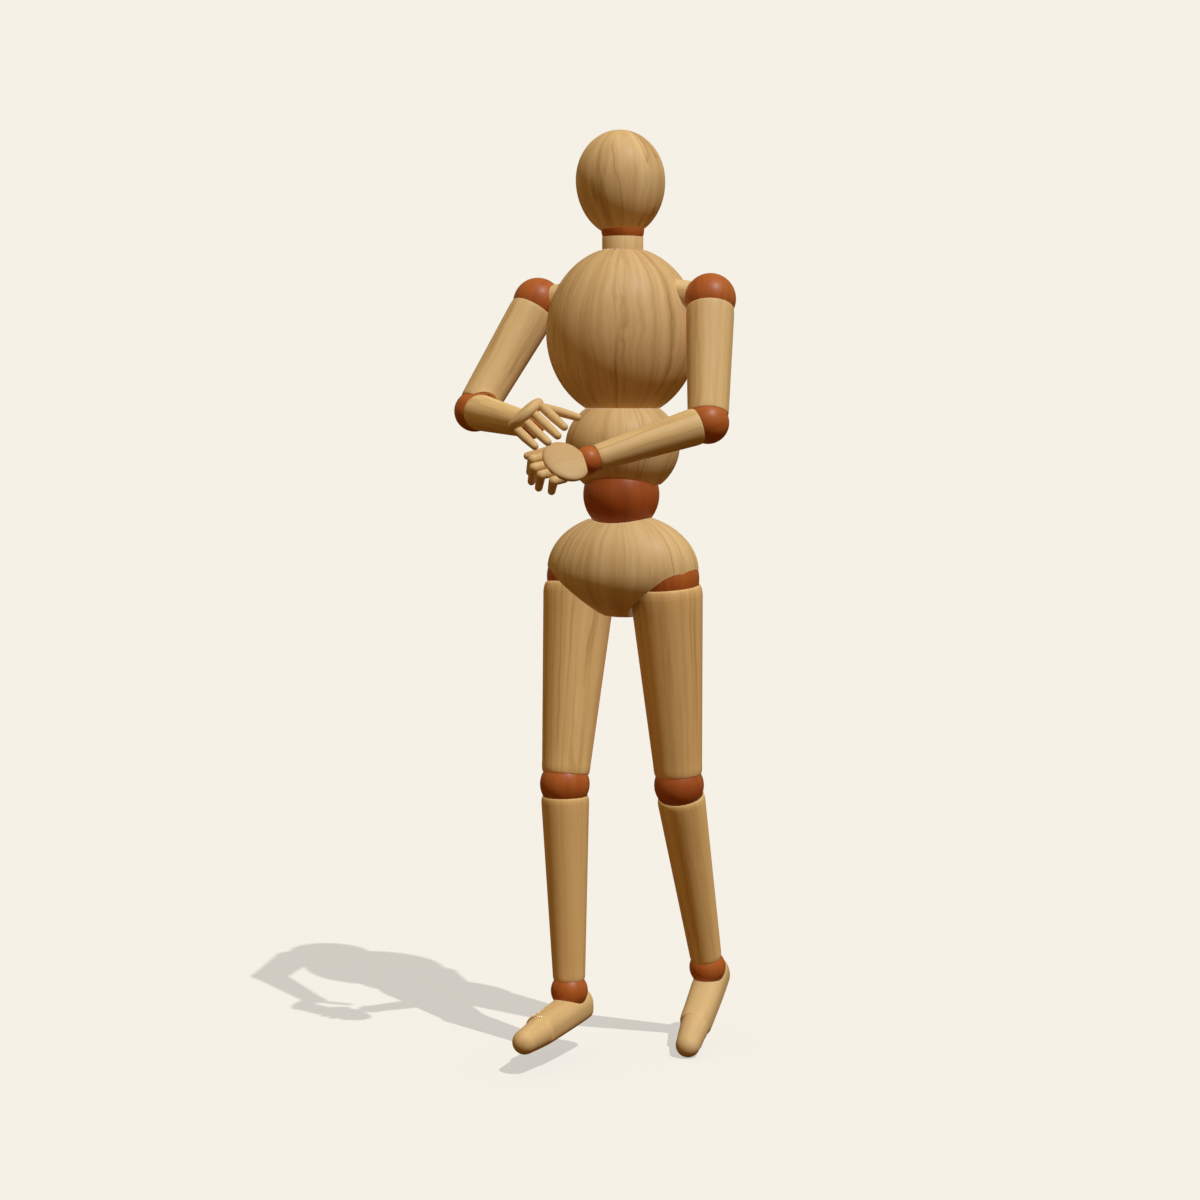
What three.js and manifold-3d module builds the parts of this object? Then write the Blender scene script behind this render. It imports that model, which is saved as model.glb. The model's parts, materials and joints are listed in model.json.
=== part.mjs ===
import * as THREE from 'three';
import { mergeVertices } from 'three/addons/utils/BufferGeometryUtils.js';
import Module from 'manifold-3d';

// Ball-jointed wooden artist mannequin, in millimetres, +Z up.
// The figure faces -Y and its left side is +X. It stands as posed, on the tip of its left toe.
// Every limb hangs along its own -Z from the ball that carries it, and bends about its own X.

const wasm = await Module();
wasm.setup();

const LEFT = 1;
const RIGHT = -1;

// Clearances
const BALL_GAP = 0.6;
const FACE_GAP = 0.3;
const FINGER_GAP = 0.3;
const RELIEF_GAP = 0.6;
const RIM_LAND = 0.15;

// How finely round pieces are faceted, how far a cut runs past a surface, and the size of a cutting block
const FACET_SAG = 0.3;
const WELD = 1e-4;
const OVERCUT = 1;
const BLOCK = 120;
const HEAD_STEPS = 7;
const CHEST_STEPS = 14;
const ABDOMEN_STEPS = 5;
const PELVIS_STEPS = 8;
const PELVIS_SIDES = 24;
const PALM_SIDES = 14;
const FINGER_SIDES = 8;
const FOOT_SIDES = 16;
const BULLET_STEPS = 4;
const RIM_STEPS = [0, 0.4, 1];

// Ball radii
const NECK_BALL = 9.2;
const WAIST_BALL = 16.4;
const SHOULDER_BALL = 10.8;
const ELBOW_BALL = 8.8;
const WRIST_BALL = 5.9;
const HIP_BALL = 14.5;
const KNEE_BALL = 10.8;
const ANKLE_BALL = 8.1;

// Head, an egg cut flat over the neck ball
const HEAD_RADIUS = 19.1;
const HEAD_RISE = 22.4;
const HEAD_DROP = 23.8;
const HEAD_ABOVE_BALL = 20.6;
const HEAD_CUT = 0.3;
const HEAD_TILT = 3;

// Neck, a short dowel from the chest to its ball
const NECK_RADIUS = 8.8;
const NECK_HEIGHT = 5.8;
const NECK_BALL_ABOVE = 3.0;
const NECK_SPIGOT_RADIUS = 7.0;
const NECK_SPIGOT_LENGTH = 5.0;

// Chest, an egg cut flat at both ends
const CHEST_RADIUS = 32.8;
const CHEST_HALF_HEIGHT = 36.8;
const CHEST_TOP = 35.0;
const CHEST_BOTTOM = 32.2;

// Abdomen, a ball cut flat under the chest
const ABDOMEN_RADIUS = 24.6;
const ABDOMEN_RISE = 21.0;
const ABDOMEN_DROP = 22.4;
const ABDOMEN_TOP = 15.7;
const ABDOMEN_BOTTOM = 16.6;
const ABDOMEN_ABOVE_WAIST = 21.0;

// Pelvis, wider than it is deep, with a pocket for each hip
const PELVIS_HALF_WIDTH = 34.5;
const PELVIS_HALF_DEPTH = 23.5;
const PELVIS_RISE = 24.6;
const PELVIS_DROP = 20.4;
const PELVIS_BELOW_WAIST = 32.6;
const PELVIS_RIM = 21.2;
const WAIST_FORWARD = 1.2;
const HIP_SPREAD = 20.5;
const HIP_BELOW_PELVIS = 3.1;
const HIP_SWING = [-16, 0, 16];
const HIP_SPREAD_OUT = [0, 20];

// Shoulders
const SHOULDER_SPREAD = 41.1;
const SHOULDER_ABOVE_CHEST = 13.7;
const SHOULDER_SLOPE = 9;
const STUB_RADIUS = 6.2;
const STUB_LENGTH = 23.0;
const STUB_CUP_REACH = 8.8;

// Arms and legs: distance from ball to ball, radius at each end, and how much each rim is rounded
const UPPER_ARM = { length: 57.7, top: 10.2, bottom: 8.5 };
const FOREARM = { length: 53.7, top: 7.8, bottom: 5.4 };
const THIGH = { length: 90.6, top: 15.8, bottom: 10.3 };
const SHIN = { length: 91.1, top: 10.6, bottom: 7.0 };
const RIM_ROUND = 0.4;
const RIM_ROUND_LENGTH = 2.4;
const THIGH_RIM = 4.4;
const ELBOW_RELIEF = [-14, 6, 26];

// Feet: a rounded block under the ankle ball, with a bullet-shaped toe seated in a cup across its front
const SOLE_DROP = 15.0;
const TOE_HINGE_REACH = 27.5;
const TOE_HINGE_DROP = 9.9;
const TOE_ROOT_RADIUS = 5.9;
const TOE_TIP_RADIUS = 4.9;
const TOE_TIP_REACH = 47.0;
const TOE_SWEEP = [0, -11, -22];

// Rings of the foot from heel to front: distance behind the ankle, half width, height of top and underside
const FOOT_RINGS = [
  { back: 12.3, half: 2.6, top: -4.8, low: -11.2 },
  { back: 11.6, half: 4.6, top: -3.0, low: -13.4 },
  { back: 9.6, half: 6.4, top: -1.9, low: -15.2 },
  { back: 6.4, half: 7.2, top: -1.7, low: -15.6 },
  { back: -4.0, half: 7.4, top: -1.9, low: -15.6 },
  { back: -12.0, half: 7.3, top: -2.4, low: -15.6 },
  { back: -20.0, half: 7.1, top: -2.7, low: -15.6 },
  { back: -25.4, half: 6.95, top: -2.8, low: -15.6 },
  { back: -27.2, half: 6.8, top: -2.95, low: -15.6 },
  { back: -28.0, half: 6.5, top: -3.3, low: -15.4 },
];
const ARCH_POWER = 0.9;
const SOLE_POWER = 0.62;

// Hands: the palm is a lens on the back of the wrist ball, and the fingers leave it from underneath
const PALM_HALF_WIDTH = 10.4;
const PALM_HALF_THICKNESS = 2.2;
const PALM_HALF_LENGTH = 9.2;
const PALM_REACH = 11.3;
const PALM_ABOVE_BALL = 4.5;
const PALM_CUT = 2.7;
const FINGER_RADIUS = 1.95;
const FINGER_TIP_RADIUS = 1.6;
const KNUCKLE_HEIGHT = 1.2;
const CREASE_DEPTH = 0.25;
const CREASE_HALF = 0.9;
const CREASE_PLACE = 0.45;
const FINGERS = [
  { name: 'index', side: 6.7, reach: 17.0, base: 8.2, tip: 9.0 },
  { name: 'middle', side: 2.15, reach: 18.3, base: 8.6, tip: 9.6 },
  { name: 'ring', side: -2.45, reach: 17.9, base: 8.2, tip: 9.0 },
  { name: 'little', side: -7.0, reach: 16.0, base: 6.8, tip: 7.6 },
];
const THUMB = { name: 'thumb', side: 8.0, reach: 8.2, base: 8.8, tip: 9.4 };
const FINGER_SWEEP = [-15, 15];

// Springs that draw the balls into their cups
const WIRE_RADIUS = 0.45;
const WIRE_SIDES = 5;
const TURN_STEPS = 8;
const SPRING_RADIUS = 2.6;
const SPRING_BORE = 3.8;
const SPRING_PITCH = 3.6;
const SPRING_WALL = 1.2;
const SPRING_SETBACK = 1.5;

// The pose, in degrees: each value turns a limb about its own axes from hanging straight down
const POSE = {
  left: {
    swing: -25.2, abduct: -17.7, armTwist: -60.9, elbow: -65.6,
    wristTwist: -108.8, wrist: 11.4, wristTilt: 5.1,
    finger: 0, fingerTip: -94, thumbOut: 22, thumbIn: -18, thumbTip: -8,
    hipSwing: 5.6, hipAbduct: -1.6, knee: 13.8, kneeTilt: 1.4,
    ankle: 7.7, ankleTilt: 2.7, ankleTurn: 7.2, toe: 0,
  },
  right: {
    swing: -33.9, abduct: 22.6, armTwist: 69.3, elbow: -80.0,
    wristTwist: 104.3, wrist: 23.3, wristTilt: -9.0,
    finger: -58, fingerTip: 4, thumbOut: 28, thumbIn: -62, thumbTip: -8,
    hipSwing: -7.6, hipAbduct: 0.9, knee: 8.4, kneeTilt: -1.8,
    ankle: 4.7, ankleTilt: 0.4, ankleTurn: -0.8, toe: 0,
  },
};

const paleWood = new THREE.MeshStandardMaterial({ color: 0xc9a36b, roughness: 0.6, metalness: 0 });
const redWood = new THREE.MeshStandardMaterial({ color: 0x8a3d14, roughness: 0.5, metalness: 0 });
const springSteel = new THREE.MeshStandardMaterial({ color: 0x9a9da0, roughness: 0.35, metalness: 1 });

const radians = THREE.MathUtils.degToRad;
const at = (x, y, z) => new THREE.Vector3(x, y, z);
const turn = (x, y = 0, z = 0) => new THREE.Euler(radians(x), radians(y), radians(z));
const sideName = (side) => (side === LEFT ? 'left' : 'right');

// Solids

function solidOf(geometry) {
  const bare = geometry.clone();
  bare.deleteAttribute('normal');
  bare.deleteAttribute('uv');
  const merged = mergeVertices(bare, WELD);
  const corners = [];
  const index = merged.index.array;
  for (let i = 0; i < index.length; i += 3) {
    const [a, b, c] = [index[i], index[i + 1], index[i + 2]];
    if (a !== b && b !== c && c !== a) corners.push(a, b, c);
  }
  const mesh = new wasm.Mesh({
    numProp: 3,
    vertProperties: Float32Array.from(merged.attributes.position.array),
    triVerts: Uint32Array.from(corners),
  });
  return new wasm.Manifold(mesh);
}

function geometryOf(solid) {
  const mesh = solid.getMesh();
  const geometry = new THREE.BufferGeometry();
  geometry.setAttribute('position', new THREE.BufferAttribute(Float32Array.from(mesh.vertProperties), 3));
  geometry.setIndex(Array.from(mesh.triVerts));
  geometry.computeVertexNormals();
  return geometry;
}

function carve(solid, cutters) {
  return cutters.reduce((left, cutter) => left.subtract(cutter), solid);
}

function moved(geometry, position, rotation = new THREE.Euler()) {
  const place = new THREE.Matrix4().makeRotationFromEuler(rotation).setPosition(position);
  return geometry.clone().applyMatrix4(place);
}

// A round piece has enough sides to stay within the facet sag of its true radius
function sidesFor(radius) {
  return 2 * Math.ceil(Math.PI / Math.acos(1 - FACET_SAG / radius) / 2);
}

// Blocks that cut away all that lies above or below a height
function above(height) {
  return new THREE.BoxGeometry(BLOCK, BLOCK, BLOCK).translate(0, 0, height + BLOCK / 2);
}

function below(height) {
  return new THREE.BoxGeometry(BLOCK, BLOCK, BLOCK).translate(0, 0, height - BLOCK / 2);
}

function ball(radius, centre = at(0, 0, 0), sides = sidesFor(radius)) {
  const sphere = new THREE.SphereGeometry(radius, sides, sides / 2);
  sphere.rotateX(Math.PI / 2);
  return moved(sphere, centre);
}

function turned(points, sides) {
  const profile = points.map(([radius, height]) => new THREE.Vector2(Math.max(radius, 0), height));
  return new THREE.LatheGeometry(profile, sides).rotateX(Math.PI / 2);
}

function rod(radius, bottom, top) {
  return turned([[0, bottom], [radius, bottom], [radius, top], [0, top]], sidesFor(radius));
}

// Part of an ellipse outline between two heights, from the lower to the upper
function ellipseArc(radius, halfHeight, from, to, steps) {
  const start = Math.asin(from / halfHeight);
  const end = Math.asin(to / halfHeight);
  const points = [];
  for (let i = 0; i <= steps; i += 1) {
    const angle = start + (end - start) * i / steps;
    points.push([radius * Math.cos(angle), halfHeight * Math.sin(angle)]);
  }
  return points;
}

// Distance from a ball's centre to the rim of a cup whose edge has the given radius
function rimReach(ballRadius, rimRadius) {
  const cup = ballRadius + BALL_GAP;
  const edge = rimRadius - RIM_ROUND - RIM_LAND;
  return Math.sqrt(cup * cup - edge * edge);
}

// A tapered limb with rounded rims; grow gives the room that it needs in a neighbour
function limbOutline(size, topReach, bottomReach, grow = 0) {
  const low = -size.length + bottomReach;
  const high = -topReach;
  const taper = (size.top - size.bottom) / (high - low);
  const rimPoint = (end, inward, t) => {
    const z = end + inward * RIM_ROUND_LENGTH * t;
    const radius = size.bottom + taper * (z - low) - RIM_ROUND * (1 - Math.sqrt(1 - (1 - t) ** 2));
    return [radius + grow, z - inward * grow];
  };
  return [
    [0, low - grow],
    ...RIM_STEPS.map((t) => rimPoint(low, 1, t)),
    ...RIM_STEPS.slice().reverse().map((t) => rimPoint(high, -1, t)),
    [0, high + grow],
  ];
}

// Each end is cupped over its ball, with cup and limb facets in line
function limb(size, topBall, bottomBall, topReach = rimReach(topBall, size.top)) {
  const sides = sidesFor(topBall);
  const outline = limbOutline(size, topReach, rimReach(bottomBall, size.bottom));
  const topCup = ball(topBall + BALL_GAP, at(0, 0, 0), sides);
  const lowCup = ball(bottomBall + BALL_GAP, at(0, 0, -size.length), sides);
  return carve(solidOf(turned(outline, sides)), [topCup, lowCup].map(solidOf));
}

// The pieces that move keep their origin at the ball or hinge that carries them

const figure = new THREE.Group();

function joint(parent, position, rotation = new THREE.Euler()) {
  const group = new THREE.Group();
  group.position.copy(position);
  group.rotation.copy(rotation);
  parent.add(group);
  return group;
}

function piece(name, shape, material, parent) {
  const geometry = shape.isBufferGeometry ? geometryOf(solidOf(shape)) : geometryOf(shape);
  const mesh = new THREE.Mesh(geometry, material.clone());
  mesh.name = name;
  parent.add(mesh);
  return mesh;
}

// A coil spring along Z between two heights, one unbroken wire
function spring(bottom, top) {
  const low = bottom + FACE_GAP + WIRE_RADIUS;
  const high = top - FACE_GAP - WIRE_RADIUS;
  const turns = Math.floor((high - low) / SPRING_PITCH);
  const steps = turns * TURN_STEPS;
  const positions = [];
  const faces = [];
  for (let i = 0; i <= steps; i += 1) {
    const angle = i / TURN_STEPS * 2 * Math.PI;
    const middle = low + (high - low) * i / steps;
    for (let k = 0; k < WIRE_SIDES; k += 1) {
      const around = k / WIRE_SIDES * 2 * Math.PI;
      const reach = SPRING_RADIUS + WIRE_RADIUS * Math.cos(around);
      const height = middle + WIRE_RADIUS * Math.sin(around);
      positions.push(reach * Math.cos(angle), reach * Math.sin(angle), height);
    }
  }
  for (let i = 0; i < steps; i += 1) {
    for (let k = 0; k < WIRE_SIDES; k += 1) {
      const here = i * WIRE_SIDES + k;
      const beside = i * WIRE_SIDES + (k + 1) % WIRE_SIDES;
      faces.push(here, here + WIRE_SIDES, beside);
      faces.push(beside, here + WIRE_SIDES, beside + WIRE_SIDES);
    }
  }
  const last = steps * WIRE_SIDES;
  for (let k = 1; k < WIRE_SIDES - 1; k += 1) {
    faces.push(0, k, k + 1);
    faces.push(last, last + k + 1, last + k);
  }
  const geometry = new THREE.BufferGeometry();
  geometry.setAttribute('position', new THREE.Float32BufferAttribute(positions, 3));
  geometry.setIndex(faces);
  return geometry;
}

// A closed loft through rings of points that lie along Y
function loft(rings) {
  const count = rings[0].length;
  const positions = rings.flat(2);
  const faces = [];
  for (let r = 0; r < rings.length - 1; r += 1) {
    for (let k = 0; k < count; k += 1) {
      const here = r * count + k;
      const beside = r * count + (k + 1) % count;
      faces.push(here, beside, here + count);
      faces.push(beside, beside + count, here + count);
    }
  }
  for (const [ring, flip] of [[0, true], [rings.length - 1, false]]) {
    const base = ring * count;
    for (let k = 1; k < count - 1; k += 1) {
      faces.push(base, flip ? base + k + 1 : base + k, flip ? base + k : base + k + 1);
    }
  }
  const geometry = new THREE.BufferGeometry();
  geometry.setAttribute('position', new THREE.Float32BufferAttribute(positions, 3));
  geometry.setIndex(faces);
  return geometry;
}

// One ring of the foot: a rounded arch over a flatter underside
function footRing(ring) {
  const middle = (ring.top + ring.low) / 2;
  const rise = (ring.top - ring.low) / 2;
  const points = [];
  for (let k = 0; k < FOOT_SIDES; k += 1) {
    const angle = (k + 0.5) / FOOT_SIDES * 2 * Math.PI;
    const power = Math.sin(angle) < 0 ? SOLE_POWER : ARCH_POWER;
    const x = ring.half * Math.sign(Math.cos(angle)) * Math.abs(Math.cos(angle)) ** ARCH_POWER;
    const z = middle + rise * Math.sign(Math.sin(angle)) * Math.abs(Math.sin(angle)) ** power;
    points.push([x, ring.back, z]);
  }
  return points;
}

// Torso

function buildTorso() {
  const pelvis = joint(figure, at(0, 0, 0));
  const waist = joint(pelvis, at(0, -WAIST_FORWARD, PELVIS_BELOW_WAIST));
  const abdomen = joint(waist, at(0, WAIST_FORWARD, ABDOMEN_ABOVE_WAIST));
  const chestHeight = ABDOMEN_TOP + FACE_GAP + CHEST_BOTTOM;
  const chest = joint(abdomen, at(0, 0, chestHeight));
  const neck = joint(chest, at(0, 0, CHEST_TOP + FACE_GAP));
  const neckBall = joint(neck, at(0, 0, NECK_HEIGHT + NECK_BALL_ABOVE));
  const head = joint(neckBall, at(0, 0, 0), turn(0, -HEAD_TILT));

  piece('waist_ball', ball(WAIST_BALL), redWood, waist);
  piece('neck_ball', ball(NECK_BALL), redWood, neckBall);

  const headCut = -HEAD_ABOVE_BALL + HEAD_CUT;
  const headOutline = [
    [0, headCut],
    ...ellipseArc(HEAD_RADIUS, HEAD_DROP, headCut, 0, HEAD_STEPS),
    ...ellipseArc(HEAD_RADIUS, HEAD_RISE, 0, HEAD_RISE, HEAD_STEPS).slice(1),
  ];
  const egg = moved(turned(headOutline, sidesFor(HEAD_RADIUS)), at(0, 0, HEAD_ABOVE_BALL));
  piece('head', solidOf(egg).subtract(solidOf(ball(NECK_BALL + BALL_GAP))), paleWood, head);

  const neckOutline = [
    [0, -NECK_SPIGOT_LENGTH],
    [NECK_SPIGOT_RADIUS, -NECK_SPIGOT_LENGTH],
    [NECK_SPIGOT_RADIUS, 0],
    [NECK_RADIUS, 0],
    [NECK_RADIUS, NECK_HEIGHT],
    [0, NECK_HEIGHT],
  ];
  const neckCup = ball(NECK_BALL + BALL_GAP, at(0, 0, NECK_HEIGHT + NECK_BALL_ABOVE));
  const neckBody = solidOf(turned(neckOutline, sidesFor(NECK_RADIUS)));
  piece('neck', neckBody.subtract(solidOf(neckCup)), paleWood, neck);

  const chestOutline = [
    [0, -CHEST_BOTTOM],
    ...ellipseArc(CHEST_RADIUS, CHEST_HALF_HEIGHT, -CHEST_BOTTOM, CHEST_TOP, CHEST_STEPS),
    [0, CHEST_TOP],
  ];
  const inner = stubEnd();
  const crossHeight = SHOULDER_ABOVE_CHEST + inner.rise;
  const neckSpringFoot = crossHeight + SPRING_BORE + FACE_GAP + SPRING_WALL;
  const neckSocketFloor = CHEST_TOP - NECK_SPIGOT_LENGTH - FACE_GAP;
  const crossBore = rod(SPRING_BORE, -inner.spread - OVERCUT, inner.spread + OVERCUT).rotateY(Math.PI / 2);
  const chestCutters = [
    rod(NECK_SPIGOT_RADIUS + FACE_GAP, neckSocketFloor, CHEST_TOP + OVERCUT),
    rod(SPRING_BORE, neckSpringFoot, CHEST_TOP),
    moved(crossBore, at(0, 0, crossHeight)),
  ];
  for (const side of [LEFT, RIGHT]) {
    const bore = stubRod(side, STUB_RADIUS + FACE_GAP, 0, STUB_LENGTH + FACE_GAP);
    chestCutters.push(moved(bore, shoulderPlace(side), turn(0, side * SHOULDER_SLOPE)));
    chestCutters.push(ball(SHOULDER_BALL + BALL_GAP, shoulderPlace(side)));
  }
  const chestBody = carve(solidOf(turned(chestOutline, sidesFor(CHEST_RADIUS))), chestCutters.map(solidOf));
  piece('chest', chestBody, paleWood, chest);
  const crossEnd = inner.spread - SPRING_SETBACK;
  const crossSpring = spring(-crossEnd, crossEnd).rotateY(Math.PI / 2);
  piece('shoulder_spring', moved(crossSpring, at(0, 0, crossHeight)), springSteel, chest);
  piece('neck_spring', spring(neckSpringFoot, neckSocketFloor), springSteel, chest);

  const abdomenOutline = [
    [0, -ABDOMEN_BOTTOM],
    ...ellipseArc(ABDOMEN_RADIUS, ABDOMEN_DROP, -ABDOMEN_BOTTOM, 0, ABDOMEN_STEPS),
    ...ellipseArc(ABDOMEN_RADIUS, ABDOMEN_RISE, 0, ABDOMEN_TOP, ABDOMEN_STEPS).slice(1),
    [0, ABDOMEN_TOP],
  ];
  const waistInAbdomen = at(0, -WAIST_FORWARD, -ABDOMEN_ABOVE_WAIST);
  const abdomenCutters = [
    ball(WAIST_BALL + BALL_GAP, waistInAbdomen),
    rod(SPRING_BORE, -ABDOMEN_BOTTOM, ABDOMEN_TOP + OVERCUT),
  ];
  const abdomenBody = solidOf(turned(abdomenOutline, sidesFor(ABDOMEN_RADIUS)));
  piece('abdomen', carve(abdomenBody, abdomenCutters.map(solidOf)), paleWood, abdomen);
  const waistCrown = WAIST_BALL - ABDOMEN_ABOVE_WAIST + FACE_GAP;
  piece('waist_spring', spring(waistCrown, ABDOMEN_TOP), springSteel, abdomen);

  return { pelvis, chest };
}

// The shoulder stubs slope down and out, and each turns in its own bore
function shoulderPlace(side) {
  return at(side * SHOULDER_SPREAD, 0, SHOULDER_ABOVE_CHEST);
}

function stubRod(side, radius, near, far) {
  return rod(radius, near, far).rotateY(-side * Math.PI / 2);
}

function stubEnd() {
  const slope = radians(SHOULDER_SLOPE);
  return { spread: SHOULDER_SPREAD - STUB_LENGTH * Math.cos(slope), rise: STUB_LENGTH * Math.sin(slope) };
}

function buildArm(side, chest) {
  const label = sideName(side);
  const pose = POSE[label];
  const slope = joint(chest, shoulderPlace(side), turn(0, side * SHOULDER_SLOPE));
  const stub = joint(slope, at(0, 0, 0), turn(pose.swing));
  const shoulder = joint(stub, at(0, 0, 0), turn(0, pose.abduct));
  const upperArm = joint(shoulder, at(0, 0, 0), turn(0, 0, pose.armTwist));
  const elbow = joint(upperArm, at(0, 0, -UPPER_ARM.length), turn(pose.elbow));
  const forearm = joint(elbow, at(0, 0, 0), turn(0, 0, pose.wristTwist));
  const wrist = joint(forearm, at(0, 0, -FOREARM.length), turn(pose.wrist));
  const palm = joint(wrist, at(0, 0, 0), turn(0, pose.wristTilt));

  const stubBody = solidOf(stubRod(side, STUB_RADIUS, STUB_CUP_REACH, STUB_LENGTH));
  const stubCup = solidOf(ball(SHOULDER_BALL + BALL_GAP));
  piece(`${label}_shoulder_stub`, stubBody.subtract(stubCup), paleWood, stub);
  piece(`${label}_shoulder_ball`, ball(SHOULDER_BALL), redWood, shoulder);

  // The upper arm is hollowed on the inside of the elbow so that the forearm can fold
  const elbowRoom = turned(forearmOutline(RELIEF_GAP), sidesFor(FOREARM.top));
  const elbowCuts = ELBOW_RELIEF.map((extra) => (
    solidOf(moved(elbowRoom, at(0, 0, -UPPER_ARM.length), turn(pose.elbow + extra)))
  ));
  const armBody = limb(UPPER_ARM, SHOULDER_BALL, ELBOW_BALL);
  piece(`${label}_upper_arm`, carve(armBody, elbowCuts), paleWood, upperArm);
  piece(`${label}_elbow_ball`, ball(ELBOW_BALL), redWood, elbow);
  piece(`${label}_forearm`, limb(FOREARM, ELBOW_BALL, WRIST_BALL), paleWood, forearm);
  piece(`${label}_wrist_ball`, ball(WRIST_BALL), redWood, wrist);
  buildHand(side, palm, pose);
}

function forearmOutline(grow) {
  const topReach = rimReach(ELBOW_BALL, FOREARM.top);
  const bottomReach = rimReach(WRIST_BALL, FOREARM.bottom);
  return limbOutline(FOREARM, topReach, bottomReach, grow);
}

// A finger length with a round end at the joint, a shallow crease, and another round end
function phalanx(length, farRadius, creaseAt = 0, grow = 0) {
  const near = FINGER_RADIUS + grow;
  const far = farRadius + grow;
  const farCentre = farRadius - length;
  const points = [[0, near], [near * Math.SQRT1_2, near * Math.SQRT1_2], [near, 0]];
  if (creaseAt > 0) {
    points.push([near, CREASE_HALF - creaseAt]);
    points.push([near - CREASE_DEPTH, -creaseAt]);
    points.push([near - CREASE_DEPTH / 2, -CREASE_HALF - creaseAt]);
  }
  points.push([far, farCentre]);
  points.push([far * Math.SQRT1_2, farCentre - far * Math.SQRT1_2]);
  points.push([0, farCentre - far]);
  return turned(points.reverse(), FINGER_SIDES);
}

function buildHand(side, palm, pose) {
  const label = sideName(side);
  const disc = ball(1, at(0, 0, 0), PALM_SIDES).scale(PALM_HALF_WIDTH, PALM_HALF_THICKNESS, PALM_HALF_LENGTH);
  const cuts = [above(-PALM_CUT), ball(WRIST_BALL + BALL_GAP)];
  const digits = FINGERS.map((finger) => ({
    ...finger,
    place: at(side * finger.side, KNUCKLE_HEIGHT, -finger.reach),
    bend: turn(pose.finger),
    sweep: FINGER_SWEEP.map((extra) => turn(pose.finger + extra)),
    tipBend: pose.fingerTip,
  }));
  digits.push({
    ...THUMB,
    place: at(side * THUMB.side, KNUCKLE_HEIGHT, -THUMB.reach),
    bend: turn(pose.thumbIn, -side * pose.thumbOut),
    sweep: FINGER_SWEEP.map((extra) => turn(pose.thumbIn + extra, -side * pose.thumbOut)),
    tipBend: pose.thumbTip,
  });
  for (const digit of digits) {
    const room = phalanx(digit.base, FINGER_RADIUS, 0, FINGER_GAP);
    digit.sweep.forEach((bend) => cuts.push(moved(room, digit.place, bend)));
    const knuckle = joint(palm, digit.place, digit.bend);
    const tipJoint = joint(knuckle, at(0, 0, -digit.base + FINGER_RADIUS), turn(digit.tipBend));
    const tipRoom = phalanx(digit.tip, FINGER_TIP_RADIUS, 0, FINGER_GAP);
    const baseCuts = FINGER_SWEEP.map((extra) => (
      solidOf(moved(tipRoom, at(0, 0, -digit.base + FINGER_RADIUS), turn(digit.tipBend + extra)))
    ));
    const base = solidOf(phalanx(digit.base, FINGER_RADIUS));
    piece(`${label}_${digit.name}_base`, carve(base, baseCuts), paleWood, knuckle);
    const tip = phalanx(digit.tip, FINGER_TIP_RADIUS, digit.tip * CREASE_PLACE);
    piece(`${label}_${digit.name}_tip`, tip, paleWood, tipJoint);
  }
  const body = solidOf(disc.translate(0, PALM_ABOVE_BALL, -PALM_REACH));
  piece(`${label}_palm`, carve(body, cuts.map(solidOf)), paleWood, palm);
}

// The pelvis bottom is an egg with a seat for each hip ball, and room for each thigh to swing
function buildPelvis(pelvis) {
  const outline = [
    ...ellipseArc(1, PELVIS_DROP, -PELVIS_DROP, 0, PELVIS_STEPS),
    ...ellipseArc(1, PELVIS_RISE, 0, PELVIS_RISE, PELVIS_STEPS).slice(1),
  ];
  const egg = turned(outline, PELVIS_SIDES).scale(PELVIS_HALF_WIDTH, PELVIS_HALF_DEPTH, 1);
  const waistSeat = ball(WAIST_BALL + BALL_GAP, at(0, -WAIST_FORWARD, PELVIS_BELOW_WAIST));
  const cuts = [waistSeat, above(PELVIS_RIM)];
  const thighReach = rimReach(KNEE_BALL, THIGH.bottom);
  const thighRoom = turned(limbOutline(THIGH, THIGH_RIM, thighReach, RELIEF_GAP), sidesFor(THIGH.top));
  for (const side of [LEFT, RIGHT]) {
    const pose = POSE[sideName(side)];
    cuts.push(ball(HIP_BALL + BALL_GAP, hipPlace(side)));
    for (const swing of HIP_SWING) {
      for (const spread of HIP_SPREAD_OUT) {
        const bend = turn(pose.hipSwing + swing, pose.hipAbduct - side * spread);
        cuts.push(moved(thighRoom, hipPlace(side), bend));
      }
    }
  }
  piece('pelvis', carve(solidOf(egg), cuts.map(solidOf)), paleWood, pelvis);
}

function hipPlace(side) {
  return at(side * HIP_SPREAD, 0, -HIP_BELOW_PELVIS);
}

function buildLeg(side, pelvis) {
  const label = sideName(side);
  const pose = POSE[label];
  const hip = joint(pelvis, hipPlace(side), turn(pose.hipSwing));
  const thigh = joint(hip, at(0, 0, 0), turn(0, pose.hipAbduct));
  const knee = joint(thigh, at(0, 0, -THIGH.length), turn(pose.knee));
  const shin = joint(knee, at(0, 0, 0), turn(0, pose.kneeTilt));
  const ankle = joint(shin, at(0, 0, -SHIN.length), turn(pose.ankle));
  const foot = joint(ankle, at(0, 0, 0), turn(0, pose.ankleTilt, pose.ankleTurn));
  const toe = joint(foot, at(0, -TOE_HINGE_REACH, -TOE_HINGE_DROP), turn(pose.toe));
  piece(`${label}_hip_ball`, ball(HIP_BALL), redWood, hip);
  piece(`${label}_thigh`, limb(THIGH, HIP_BALL, KNEE_BALL, THIGH_RIM), paleWood, thigh);
  piece(`${label}_knee_ball`, ball(KNEE_BALL), redWood, knee);
  piece(`${label}_shin`, limb(SHIN, KNEE_BALL, ANKLE_BALL), paleWood, shin);
  piece(`${label}_ankle_ball`, ball(ANKLE_BALL), redWood, ankle);
  buildFoot(label, foot, toe);
}

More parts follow.
